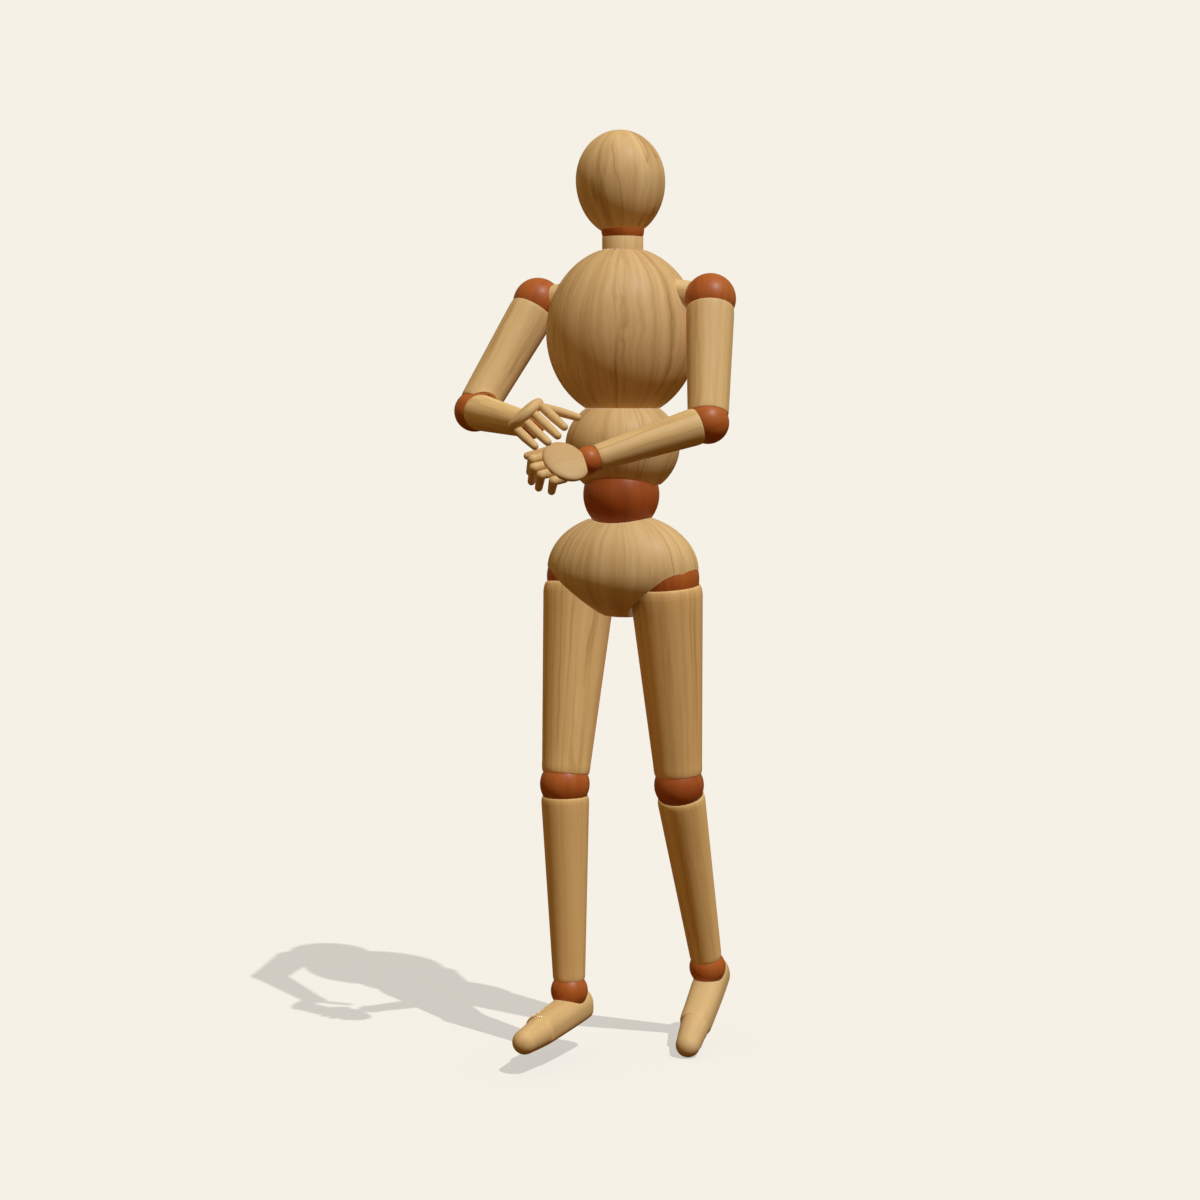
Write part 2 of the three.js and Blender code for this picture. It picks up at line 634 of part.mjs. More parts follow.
// The foot is lofted from heel to front and cut flat underneath, and cupped over the ankle ball and the toe
function buildFoot(label, foot, toe) {
  const hinge = at(0, -TOE_HINGE_REACH, -TOE_HINGE_DROP);
  const toeRoom = toeBullet(FACE_GAP);
  const cuts = [below(-SOLE_DROP), ball(ANKLE_BALL + BALL_GAP)];
  TOE_SWEEP.forEach((bend) => cuts.push(moved(toeRoom, hinge, turn(bend))));
  piece(`${label}_foot`, carve(solidOf(loft(FOOT_RINGS.map(footRing))), cuts.map(solidOf)), paleWood, foot);
  const toeSole = solidOf(below(TOE_HINGE_DROP - SOLE_DROP));
  piece(`${label}_toe`, solidOf(toeBullet(0)).subtract(toeSole), paleWood, toe);
}

// A ball at the hinge and a smaller ball at the tip, joined by a cone
function toeBullet(grow) {
  const reach = TOE_TIP_REACH - TOE_HINGE_REACH - TOE_TIP_RADIUS;
  const lean = Math.asin((TOE_ROOT_RADIUS - TOE_TIP_RADIUS) / reach);
  const arc = (radius, centre, from, to) => {
    const points = [];
    for (let i = 0; i <= BULLET_STEPS; i += 1) {
      const angle = from + (to - from) * i / BULLET_STEPS;
      points.push([(radius + grow) * Math.cos(angle), centre + (radius + grow) * Math.sin(angle)]);
    }
    return points;
  };
  const outline = [
    ...arc(TOE_ROOT_RADIUS, 0, -Math.PI / 2, lean),
    ...arc(TOE_TIP_RADIUS, reach, lean, Math.PI / 2),
  ];
  return turned(outline, sidesFor(TOE_ROOT_RADIUS)).rotateX(Math.PI / 2);
}

const torso = buildTorso();
buildPelvis(torso.pelvis);
for (const side of [LEFT, RIGHT]) {
  buildArm(side, torso.chest);
  buildLeg(side, torso.pelvis);
}

// The origin lies under the middle of the figure, on the surface that it stands on
figure.updateMatrixWorld(true);
const box = new THREE.Box3().setFromObject(figure, true);
const centre = box.getCenter(at(0, 0, 0));
torso.pelvis.position.set(-centre.x, -centre.y, -box.min.z);

export default figure;
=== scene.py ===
import json
import math

import bmesh
import bpy
from mathutils import Euler, Matrix, Vector, kdtree


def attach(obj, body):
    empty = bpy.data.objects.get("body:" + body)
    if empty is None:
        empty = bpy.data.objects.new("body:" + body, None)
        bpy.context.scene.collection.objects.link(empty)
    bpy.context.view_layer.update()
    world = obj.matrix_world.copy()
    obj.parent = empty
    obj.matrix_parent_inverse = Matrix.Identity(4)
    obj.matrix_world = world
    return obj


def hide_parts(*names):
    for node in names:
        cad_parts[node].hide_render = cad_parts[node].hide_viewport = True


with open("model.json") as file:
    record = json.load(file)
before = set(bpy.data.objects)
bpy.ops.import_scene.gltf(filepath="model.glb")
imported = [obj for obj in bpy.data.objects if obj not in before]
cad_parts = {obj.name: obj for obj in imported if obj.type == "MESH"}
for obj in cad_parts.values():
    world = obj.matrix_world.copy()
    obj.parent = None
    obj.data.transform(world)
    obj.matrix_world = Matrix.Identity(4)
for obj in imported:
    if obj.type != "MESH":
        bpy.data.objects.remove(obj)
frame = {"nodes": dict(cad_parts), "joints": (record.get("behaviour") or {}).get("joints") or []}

# Sizes are in millimetres, as in the part, and MM turns them into Blender's metres.
# Each piece is modelled in its own frame: a limb hangs along -Z from its ball and bends about X.
MM = 0.001
LEFT, RIGHT = "left", "right"
SIGN = {LEFT: 1, RIGHT: -1}
SEGMENTS, EGG_SEGMENTS, DIGIT_SEGMENTS = 96, 128, 48
# How far a bore's cutter reaches past the face it opens in
OVERSHOOT = 1

# The balls' radii, and the gap between a ball and its cup
FIT = 0.12
NECK_BALL = 9.2
WAIST_BALL = 16.4
SHOULDER_BALL = 10.8
ELBOW_BALL = 8.8
WRIST_BALL = 5.9
HIP_BALL = 14.5
KNEE_BALL = 10.8
ANKLE_BALL = 8.1

# Torso: radii of the eggs, their rise and drop from the widest place, and the heights of their flat cuts
HEAD_RADIUS, HEAD_RISE, HEAD_DROP, HEAD_ABOVE, HEAD_TILT = 19.1, 21.5, 23.8, 20.6, 3
NECK_RADIUS, NECK_HEIGHT, NECK_BALL_ABOVE = 8.8, 5.8, 3.0
NECK_SPIGOT_RADIUS, NECK_SPIGOT_LENGTH = 7.0, 5.0
NECK_EDGE_WIDTH, NECK_EDGE_HEIGHT = 0.25, 0.4
CHEST_RADIUS, CHEST_HALF, CHEST_TOP, CHEST_BOTTOM = 32.8, 36.8, 35.0, 32.2
ABDOMEN_RADIUS, ABDOMEN_RISE, ABDOMEN_DROP, ABDOMEN_TOP, ABDOMEN_BOTTOM = 24.6, 21.0, 22.4, 15.94, 16.6
ABDOMEN_ABOVE_WAIST, SPRING_BORE = 21.0, 3.8
RIM_UP, RIM_ABOVE_BALL = (-0.083, 0.291, 0.953), 2.3
PELVIS_WIDTH, PELVIS_DEPTH, PELVIS_RISE, PELVIS_DROP = 34.5, 23.5, 24.6, 20.4
PELVIS_BELOW_WAIST, WAIST_FORWARD = 32.6, 1.2
STUB_RADIUS, STUB_BORE_START, STUB_START, STUB_END = 6.2, 1.0, 7.0, 23.0
CUT_EDGE = 0.3
NEAR_POLE = 0.9999

# How much wider than its piece a room is, where the piece moves in another one
SOCKET_ROOM, SOCKET_DEPTH_ROOM, SHOULDER_ROOM = 0.2, 0.3, 0.3
THIGH_ROOM, FOREARM_ROOM, TOE_ROOM, FINGER_ROOM, TIP_ROOM = 0.2, 0.15, 0.2, 0.12, 0.06

# Limbs: length, radius at each end, and how far each rim stands from its ball's centre
UPPER_ARM = dict(length=57.7, top=10.2, bottom=8.5, top_reach=4.8, bottom_reach=3.7, rim=3.0,
                 balls=(SHOULDER_BALL, ELBOW_BALL))
FOREARM = dict(length=53.7, top=7.8, bottom=5.4, top_reach=5.0, bottom_reach=3.5, rim=2.6,
               balls=(ELBOW_BALL, WRIST_BALL))
THIGH = dict(length=90.6, top=15.8, bottom=10.3, top_reach=3.4, bottom_reach=4.8, rim=4.6,
             balls=(HIP_BALL, KNEE_BALL))
SHIN = dict(length=91.1, top=10.5, bottom=7.0, top_reach=5.2, bottom_reach=5.0, rim=3.0,
            balls=(KNEE_BALL, ANKLE_BALL))
RIM_LAND = 0.1

# Hands: half width, thickness and length of each palm, where its middle lies from the wrist, and the height
# and slant of the cut at its wrist edge
PALM = {LEFT: (10.9, 2.3, 9.0), RIGHT: (9.2, 2.9, 9.0)}
PALM_ASIDE = {LEFT: -1.5, RIGHT: -0.2}
PALM_ABOVE = {LEFT: 4.5, RIGHT: 4.1}
PALM_REACH, PALM_CUT, PALM_SLANT = 13.0, 4.7, 15
PALM_FULLNESS = 0.75
FINGER_RADIUS, FINGERTIP_RADIUS = 1.95, 1.6
# Lengths of each digit's base and tip, the bends of the fingers' and the thumb's tips in the photographed
# pose, the bends that the palm leaves room for, and the bend past which a tip leaves the hollow in its base
DIGITS = {
    "index": (8.2, 9.0), "middle": (8.6, 9.6), "ring": (8.2, 9.0), "little": (6.8, 7.6), "thumb": (8.8, 9.4)}
TIP_BEND = {LEFT: (-94, -8), RIGHT: (4, -8)}
FINGER_SWEEP = (-15, 0, 15)
TIP_HOLLOW_END = 15

# Feet: rings of the foot from heel to front, as place behind the ankle, half width, height of top and sole
SOLE_DROP = 15.0
FOOT_RINGS = (
    (12.4, 0.9, -7.2, -9.0), (12.25, 2.6, -4.9, -11.2), (11.6, 4.6, -3.0, -13.4), (9.6, 6.4, -1.9, -15.2),
    (6.4, 7.2, -1.7, -15.5), (-4.0, 7.4, -1.9, -15.5), (-12.0, 7.3, -2.4, -15.5), (-20.0, 7.1, -2.7, -15.5),
    (-25.8, 7.0, -2.65, -15.5), (-27.8, 6.85, -2.8, -15.5), (-28.8, 6.5, -3.2, -15.4))
TOE_DROP, TOE_ROOT, TOE_TIP, TOE_REACH = 9.9, 6.5, 5.3, 19.1
TOE_SWEEP = (0, -6, -11, -17, -22)
# Powers that square off the foot's section: at its sole, its top and its sides
SOLE_POWER, TOP_POWER, SIDE_POWER = 0.62, 0.9, 0.85

# The bends of the photographed pose, and the further bends that a limb's room is swept through, in degrees
ELBOW_REST = {LEFT: -65.6, RIGHT: -80.0}
ELBOW_RELIEF = {LEFT: (-4, 1, 6), RIGHT: (-13, -6, 0, 6)}
HIP_REST = {LEFT: (5.6, -1.6), RIGHT: (-7.6, 0.9)}
HIP_SWING = (-16, -8, 0, 8, 16)
HIP_SPREAD = (0, 10, 20)

# The photograph's camera, fitted to the outlines, seen from the middle of the waist ball
CAMERA_PLACE = (473.57, -966.17, 35.6)
CAMERA_AZIMUTH, CAMERA_DOWN = 26.6, 4.31
LENS, SENSOR_WIDTH, FAR_CLIP = 75, 36, 100
SUN_TRAVEL = (-0.595, 0.307, -1.0)

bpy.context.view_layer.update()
joints = {joint["name"]: joint for joint in frame["joints"]}


def place(name):
    return Vector(joints[name]["pos_m"])


def axis(name):
    return Vector(joints[name]["axis"])


def local_frame(origin, up, across):
    """A frame with its Z along up and its X as near to across as it can be."""
    z = up.normalized()
    x = (across - z * across.dot(z)).normalized()
    y = z.cross(x)
    rotation = Matrix((x, y, z)).transposed().to_4x4()
    return Matrix.Translation(origin) @ rotation


def turn(x, y=0.0):
    """Intrinsic turn about X, then Y, in degrees."""
    return Matrix.Rotation(math.radians(x), 4, "X") @ Matrix.Rotation(math.radians(y), 4, "Y")


def shift(x, y, z):
    return Matrix.Translation((x, y, z))


def upright_at(name):
    """The world's axes, standing at a joint."""
    return Matrix.Translation(place(name))


# Meshes, in millimetres in their own frame


def new_object(name, vertices, faces):
    mesh = bpy.data.meshes.new(name)
    mesh.from_pydata(vertices, [], faces)
    working = bmesh.new()
    working.from_mesh(mesh)
    bmesh.ops.remove_doubles(working, verts=working.verts, dist=1e-5)
    bmesh.ops.recalc_face_normals(working, faces=working.faces)
    working.to_mesh(mesh)
    working.free()
    item = bpy.data.objects.new(name, mesh)
    bpy.context.scene.collection.objects.link(item)
    return item


def lathe(name, profile, segments=SEGMENTS):
    """Turns a profile of (radius, height), from axis to axis, about Z."""
    vertices, faces = [], []
    for radius, height in profile:
        for step in range(segments):
            angle = 2 * math.pi * step / segments
            vertices.append((radius * math.cos(angle), radius * math.sin(angle), height))
    for row in range(len(profile) - 1):
        for step in range(segments):
            here, beside = row * segments + step, row * segments + (step + 1) % segments
            if profile[row][0] == 0:
                faces.append((here, beside + segments, here + segments))
            elif profile[row + 1][0] == 0:
                faces.append((here, beside, here + segments))
            else:
                faces.append((here, beside, beside + segments, here + segments))
    return new_object(name, vertices, faces)


def ball(name, radius, segments=SEGMENTS):
    rows = segments // 2
    angles = [math.pi * i / rows for i in range(rows + 1)]
    profile = [(radius * math.sin(angle), radius * math.cos(angle)) for angle in angles]
    profile[0], profile[-1] = (0, radius), (0, -radius)
    return lathe(name, profile, segments)


def rod(name, radius, low, high, segments=48):
    return lathe(name, [(0, low), (radius, low), (radius, high), (0, high)], segments)


def slab(name, low, high, radius=40):
    """A cutter wider than the piece that it cuts flat."""
    return rod(name, radius, low, high, 32)


def moved(item, matrix):
    item.data.transform(matrix)
    return item


def cut(item, cutters):
    """Takes the cutters away from item, then removes them."""
    for cutter in cutters:
        modifier = item.modifiers.new("cut", "BOOLEAN")
        modifier.operation = "DIFFERENCE"
        modifier.solver = "MANIFOLD"
        modifier.object = cutter
    depsgraph = bpy.context.evaluated_depsgraph_get()
    mesh = bpy.data.meshes.new_from_object(item.evaluated_get(depsgraph))
    item.modifiers.clear()
    item.data = mesh
    for cutter in cutters:
        bpy.data.objects.remove(cutter)
    return item


def ellipse(radius, half, low, high, steps=40):
    """Outline points of an ellipse between two heights, from the lower up."""
    start, end = math.asin(low / half), math.asin(high / half)
    angles = [start + (end - start) * i / steps for i in range(steps + 1)]
    return [(radius * math.cos(a), half * math.sin(a)) for a in angles]


def soften_corner(before, corner, after, size, steps=5):
    """A rounded corner between two straight runs of a profile."""
    a = Vector(corner) + (Vector(before) - Vector(corner)).normalized() * size
    b = Vector(corner) + (Vector(after) - Vector(corner)).normalized() * size
    points = []
    for i in range(steps + 1):
        t = i / steps
        points.append(tuple(a * (1 - t) ** 2 + Vector(corner) * 2 * t * (1 - t) + b * t ** 2))
    return points


def limb_profile(size, grow=0.0, fit=FIT, cupped=True):
    """The outline of a tapered limb from the floor of its upper cup round to the floor of its lower one."""
    length, low, high = size["length"], -size["length"] + size["bottom_reach"], -size["top_reach"]

    def radius_at(z):
        return size["bottom"] + (size["top"] - size["bottom"]) * (z - low) / (high - low) + grow

    rim_length = size["rim"]

    def rim(edge_z, inward, reach, radius):
        """A rim that rounds over from its side to the edge of its cup."""
        side = radius_at(edge_z + inward * rim_length)
        edge = math.sqrt((radius + fit) ** 2 - reach ** 2) + RIM_LAND + grow
        points = []
        for i in range(9):
            t = math.pi / 2 * i / 8
            height = edge_z + inward * rim_length * (1 - math.cos(t))
            points.append((edge + (side - edge) * math.sin(t), height))
        return points

    upper_rim = rim(high, -1, size["top_reach"], size["balls"][0])
    lower_rim = rim(low, 1, size["bottom_reach"], size["balls"][1])
    if not cupped:
        top = [(r, z + grow) for r, z in upper_rim]
        bottom = [(r, z - grow) for r, z in lower_rim]
        return [(0, high + grow)] + top + bottom[::-1] + [(0, low - grow)]
    upper, lower = size["balls"][0] + fit, size["balls"][1] + fit
    top_angle = math.asin(size["top_reach"] / upper)
    low_angle = math.asin(size["bottom_reach"] / lower)
    profile = [(0, -upper)]
    for i in range(1, 17):
        a = -math.pi / 2 + (math.pi / 2 - top_angle) * i / 16
        profile.append((upper * math.cos(a), upper * math.sin(a)))
    profile += upper_rim
    side = profile[-1][1]
    for i in range(1, 12):
        z = side + (low + rim_length - side) * i / 12
        profile.append((radius_at(z), z))
    profile += lower_rim[::-1]
    for i in range(17):
        a = low_angle + (math.pi / 2 - low_angle) * i / 16
        profile.append((lower * math.cos(a) if i < 16 else 0, -length + lower * math.sin(a)))
    return profile


# Materials


def node(tree, kind, **values):
    made = tree.nodes.new(kind)
    for key, value in values.items():
        setattr(made, key, value)
    return made


def math_node(tree, operation, a, b=None):
    made = node(tree, "ShaderNodeMath", operation=operation)
    for index, value in enumerate((a, b)):
        if value is None:
            continue
        if isinstance(value, (int, float)):
            made.inputs[index].default_value = value
        else:
            tree.links.new(value, made.inputs[index])
    return made.outputs[0]


def vector_math(tree, operation, a, b):
    """Combines a vector with another one or with a constant."""
    made = node(tree, "ShaderNodeVectorMath", operation=operation)
    tree.links.new(a, made.inputs[0])
    if isinstance(b, tuple):
        made.inputs[1].default_value = b
    else:
        tree.links.new(b, made.inputs[1])
    return made.outputs[0]


def stretched(tree, vector, scale):
    """Scales a vector by a pair of factors, across the grain and along it."""
    across, along = scale
    return vector_math(tree, "MULTIPLY", vector, (across, across, along))


def attribute(tree, name, output="Vector"):
    return node(tree, "ShaderNodeAttribute", attribute_name=name).outputs[output]


def noise_of(tree, vector, detail, roughness=0.55, output="Fac"):
    made = node(tree, "ShaderNodeTexNoise")
    tree.links.new(vector, made.inputs["Vector"])
    made.inputs["Scale"].default_value = 1.0
    made.inputs["Detail"].default_value = detail
    made.inputs["Roughness"].default_value = roughness
    return made.outputs[output]


def ramp(tree, factor, stops, interpolation="EASE"):
    made = node(tree, "ShaderNodeValToRGB")
    made.color_ramp.interpolation = interpolation
    elements = made.color_ramp.elements
    while len(elements) < len(stops):
        elements.new(0.5)
    for element, (position, color) in zip(elements, stops):
        element.position = position
        element.color = (*color, 1)
    tree.links.new(factor, made.inputs[0])
    return made.outputs[0]


def mix_colors(tree, factor, a, b):
    """Color a where the factor is zero and color b where it is one."""
    made = node(tree, "ShaderNodeMix", data_type="RGBA", blend_type="MIX")
    tree.links.new(factor, made.inputs[0])
    made.inputs[6].default_value = (*a, 1)
    made.inputs[7].default_value = (*b, 1)
    return made.outputs[2]


def weighed(tree, value, weight, total):
    """Adds a value, times its weight, to a total."""
    made = node(tree, "ShaderNodeMath", operation="MULTIPLY_ADD")
    tree.links.new(value, made.inputs[0])
    made.inputs[1].default_value = weight
    tree.links.new(total, made.inputs[2])
    return made.outputs[0]


def thin_line(tree, noise, width):
    """One where a noise crosses its middle, fading to nothing at the given distance."""
    away = math_node(tree, "ABSOLUTE", math_node(tree, "SUBTRACT", noise, 0.5))
    made = node(tree, "ShaderNodeMapRange", interpolation_type="SMOOTHSTEP")
    tree.links.new(away, made.inputs[0])
    made.inputs[1].default_value = 0.0
    made.inputs[2].default_value = width
    made.inputs[3].default_value = 1.0
    made.inputs[4].default_value = 0.0
    return made.outputs[0]


# The wood's noises, as scales per millimetre across the grain and along it
WANDER, BANDS, STREAKS, FIBRES = (0.05, 0.035), (0.2, 0.004), (0.55, 0.01), (4.5, 0.09)
DARK_LINES, PALE_LINES, LINE_PATCHES = (0.13, 0.003), (0.12, 0.003), (0.09, 0.012)
# Places far from each other in the noise, so that patches and pale lines keep clear of the dark lines
PATCH_PLACE, PALE_LINE_PLACE = (40, 7, 3), (11, 23, 5)
WANDER_REACH = (14, 0)
PATCH_START, PATCH_FULL = 0.42, 0.56
DARK_LINE_WIDTH, PALE_LINE_WIDTH = 0.036, 0.018
# What each of them counts for, next to the wood's contrast and line strength
BAND_SHARE, STREAK_SHARE, FIBRE_SHARE = 1.2, 0.4, 0.35
PALE_LINE_SHARE, WEAR_SHARE = 0.6, 0.16
# Finish
ROUGHNESS_LESS, ROUGHNESS_MORE = 0.06, 0.1
SPECULAR, COAT_ROUGHNESS = 0.25, 0.35
FIBRE_RELIEF, STREAK_RELIEF = 0.7, 0.3
BUMP_STRENGTH, BUMP_HEIGHT = 0.1, 0.0002


def wood_figure(tree, bent, grain, contrast, line_strength):
    """How pale the wood is, about zero, and the streaks and fibres that its finish follows too."""
    bands = noise_of(tree, stretched(tree, bent, BANDS), 3.0)
    streaks = noise_of(tree, stretched(tree, bent, STREAKS), 3.0, 0.6)
    fibres = noise_of(tree, stretched(tree, grain, FIBRES), 2.0, 0.7)
    rings = noise_of(tree, stretched(tree, bent, DARK_LINES), 1.0)
    patches = vector_math(tree, "ADD", stretched(tree, grain, LINE_PATCHES), PATCH_PLACE)
    stops = [(PATCH_START, (0, 0, 0)), (PATCH_FULL, (1, 1, 1))]
    patch = ramp(tree, noise_of(tree, patches, 1.0), stops, "LINEAR")
    dark_lines = math_node(tree, "MULTIPLY", thin_line(tree, rings, DARK_LINE_WIDTH), patch)
    paler = vector_math(tree, "ADD", stretched(tree, bent, PALE_LINES), PALE_LINE_PLACE)
    pale_line = thin_line(tree, noise_of(tree, paler, 1.0), PALE_LINE_WIDTH)
    pale_lines = math_node(tree, "MULTIPLY", pale_line, patch)

    middle = (BAND_SHARE + STREAK_SHARE + FIBRE_SHARE) / 2
    level = math_node(tree, "MULTIPLY", bands, BAND_SHARE * contrast)
    level = math_node(tree, "SUBTRACT", level, middle * contrast)
    level = weighed(tree, streaks, STREAK_SHARE * contrast, level)
    level = weighed(tree, fibres, FIBRE_SHARE * contrast, level)
    level = weighed(tree, dark_lines, -line_strength, level)
    level = weighed(tree, pale_lines, PALE_LINE_SHARE * line_strength, level)
    return level, streaks, fibres


def wood_material(name, line, dark, pale, light, contrast, line_strength, roughness, coat):
    """Turned wood: soft bands, a few thin lines and fine fibres along the grain, and rubbed edges."""
    material = bpy.data.materials.new(name)
    material.use_nodes = True
    tree = material.node_tree
    shader = tree.nodes["Principled BSDF"]
    grain = attribute(tree, "grain")
    habit = node(tree, "ShaderNodeSeparateXYZ")
    tree.links.new(attribute(tree, "habit"), habit.inputs[0])
    strength, sway = habit.outputs[0], habit.outputs[1]

    wander = noise_of(tree, stretched(tree, grain, WANDER), 2.0, 0.5, "Color")
    swayed = node(tree, "ShaderNodeVectorMath", operation="SCALE")
    tree.links.new(stretched(tree, wander, WANDER_REACH), swayed.inputs[0])
    tree.links.new(sway, swayed.inputs["Scale"])
    bent = vector_math(tree, "ADD", grain, swayed.outputs[0])

    level, streaks, fibres = wood_figure(tree, bent, grain, contrast, line_strength)
    level = math_node(tree, "ADD", math_node(tree, "MULTIPLY", level, strength), 0.5)
    level = weighed(tree, attribute(tree, "wear", "Fac"), WEAR_SHARE, level)
    color = ramp(tree, level, [(0.0, line), (0.3, dark), (0.5, pale), (0.85, light)], "LINEAR")
    # The colour is multiplied by each piece's share, which holds painted light and shade as well as the
    # wood's own colour
    toned = vector_math(tree, "MULTIPLY", color, attribute(tree, "tone_and_painted_light"))
    tree.links.new(toned, shader.inputs["Base Color"])

    rough = node(tree, "ShaderNodeMapRange")
    tree.links.new(streaks, rough.inputs[0])
    rough.inputs[3].default_value = roughness - ROUGHNESS_LESS
    rough.inputs[4].default_value = roughness + ROUGHNESS_MORE
    tree.links.new(rough.outputs[0], shader.inputs["Roughness"])
    shader.inputs["Specular IOR Level"].default_value = SPECULAR
    shader.inputs["Coat Weight"].default_value = coat
    shader.inputs["Coat Roughness"].default_value = COAT_ROUGHNESS

    relief = weighed(tree, fibres, FIBRE_RELIEF, math_node(tree, "MULTIPLY", streaks, STREAK_RELIEF))
    bump = node(tree, "ShaderNodeBump")
    bump.inputs["Strength"].default_value = BUMP_STRENGTH
    bump.inputs["Distance"].default_value = BUMP_HEIGHT
    tree.links.new(relief, bump.inputs["Height"])
    tree.links.new(bump.outputs[0], shader.inputs["Normal"])
    return material


def spring_material():
    """Drawn steel wire with faint length-wise marks."""
    material = bpy.data.materials.new("drawn spring steel")
    material.use_nodes = True
    tree = material.node_tree
    shader = tree.nodes["Principled BSDF"]
    coordinate = node(tree, "ShaderNodeTexCoord").outputs["Object"]
    marks = noise_of(tree, stretched(tree, coordinate, (900, 4000)), 3.0)
    color = ramp(tree, marks, [(0.3, (0.32, 0.32, 0.33)), (0.7, (0.55, 0.55, 0.56))])
    tree.links.new(color, shader.inputs["Base Color"])
    shader.inputs["Metallic"].default_value = 1.0
    shader.inputs["Roughness"].default_value = 0.35
    return material


pale_wood = wood_material(
    "turned pale wood", line=(0.37, 0.185, 0.055), dark=(0.53, 0.33, 0.135), pale=(0.63, 0.415, 0.187),
    light=(0.72, 0.51, 0.26), contrast=0.8, line_strength=0.26, roughness=0.58, coat=0.05)
red_wood = wood_material(
    "turned red wood", line=(0.27, 0.045, 0.008), dark=(0.37, 0.075, 0.014), pale=(0.43, 0.1, 0.02),
    light=(0.5, 0.14, 0.035), contrast=0.6, line_strength=0.12, roughness=0.46, coat=0.1)
spring_steel = spring_material()


SHARP_ANGLE, RUBBED_ANGLE, RUBBED_REACH = math.radians(32), math.radians(28), 1.1


def paint_edges(item):
    """Marks how near each point lies to a sharp edge, where the wood is rubbed."""
    working = bmesh.new()
    working.from_mesh(item.data)
    edges = [e for e in working.edges if len(e.link_faces) == 2 and e.calc_face_angle() > RUBBED_ANGLE]
    sharp = {vertex for edge in edges for vertex in edge.verts}
    tree = kdtree.KDTree(max(len(sharp), 1))
    for index, vertex in enumerate(sorted(sharp, key=lambda v: v.index)):
        tree.insert(vertex.co, index)
    tree.balance()
    values = []
    for vertex in working.verts:
        distance = tree.find(vertex.co)[2] if sharp else None
        values.append(0.0 if distance is None else max(0.0, 1.0 - distance / RUBBED_REACH))
    working.free()
    layer = item.data.attributes.new("wear", "FLOAT", "POINT")
    layer.data.foreach_set("value", values)


# How pale each piece's wood is, as a share of the common colour: partly the wood's own colour, and partly
# painted light and shade that makes a piece paler or darker in place of the light on it; and how much darker
# the walls inside it are painted, as painted shade
TONES_WITH_PAINTED_LIGHT = {
    "head": (1.0, 0.99, 1.0), "chest": (0.95, 0.93, 0.93), "abdomen": (0.95, 0.94, 0.92),
    "pelvis": (0.98, 0.97, 0.97),
    "left_thigh": (1.05, 0.96, 0.84), "right_thigh": (1.16, 1.11, 1.02),
    "left_shin": (1.14, 1.08, 0.96), "right_shin": (1.06, 0.98, 0.86),
    "left_palm": (0.84, 0.83, 0.86), "left_toe": (0.96, 0.97, 1.02), "left_foot": (0.95, 0.97, 1.0),
    "right_foot": (0.98, 0.98, 0.99), "right_forearm": (1.15, 1.17, 1.2),
    # The waist ball is set darker than the other balls as painted shade
    "left_knee_ball": (0.8, 0.75, 0.7), "waist_ball": (0.79, 0.74, 0.62)}
BALL_TONE, PLAIN_TONE = (0.94, 1.0, 0.85), (1.0, 1.0, 1.0)
# Painted shade on the walls inside a piece: the share of its colour that they keep
PAINTED_WALL_SHADE = 0.4
# What still counts as the surface of an egg, of a flat cut and of a cup; a face further in is a wall, which
# gets painted shade
EGG_SKIN, CUT_SKIN, CUP_SKIN = 0.995, 0.4, 0.3
# Figure strength and sway of the grain: eggs, limbs, balls, hands and feet
EGG_HABIT, LIMB_HABIT, BALL_HABIT, PLAIN_HABIT = (1.0, 0.6), (0.8, 0.25), (1.0, 0.5), (0.3, 0.2)


def habit_of(name):
    if name in ("head", "chest", "abdomen", "pelvis"):
        return EGG_HABIT
    if name.endswith("ball"):
        return BALL_HABIT
    return LIMB_HABIT if name.endswith(("thigh", "shin", "arm", "stub", "neck")) else PLAIN_HABIT


def grain_at(point, wrap):
    """Grain runs along Z; on a turned piece it is wrapped round it, so that it meets at the poles."""
    across = math.hypot(point.x, point.y)
    if wrap and across > 0:
        return Vector((point.x * wrap / across, point.y * wrap / across, point.z))
    return point


def finish_piece(item, node_name, matrix, material, pith, wrap=0.0, grain_turn=Matrix(), painted_shade_wall=None):
    """Gives a piece its grain and finish, its colour share with painted light and shade, and painted shade on
    its inner walls, puts it in its place and lets it ride on its body.
    """
    for polygon in item.data.polygons:
        polygon.use_smooth = True
    item.data.set_sharp_from_angle(angle=SHARP_ANGLE)
    paint_edges(item)
    grain = item.data.attributes.new("grain", "FLOAT_VECTOR", "POINT")
    for index, vertex in enumerate(item.data.vertices):
        grain.data[index].vector = grain_at(grain_turn @ vertex.co, wrap) + Vector(pith)
    habit = item.data.attributes.new("habit", "FLOAT_VECTOR", "POINT")
    habit.data.foreach_set("vector", (*habit_of(node_name), 0.0) * len(item.data.vertices))
    tone_and_painted_light = TONES_WITH_PAINTED_LIGHT.get(node_name, BALL_TONE if material == red_wood else PLAIN_TONE)
    # Faces on the walls inside bores, pockets and cups are darkened as painted shade
    painted_shade_shares = [PAINTED_WALL_SHADE if painted_shade_wall and painted_shade_wall(polygon.center) else 1.0 for polygon in item.data.polygons]
    layer = item.data.attributes.new("tone_and_painted_light", "FLOAT_VECTOR", "FACE")
    layer.data.foreach_set("vector", [channel * share for share in painted_shade_shares for channel in tone_and_painted_light])
    item.data.materials.clear()
    item.data.materials.append(material)
    item.data.transform(matrix @ Matrix.Scale(MM, 4))
    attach(item, node_name)
    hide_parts(node_name)


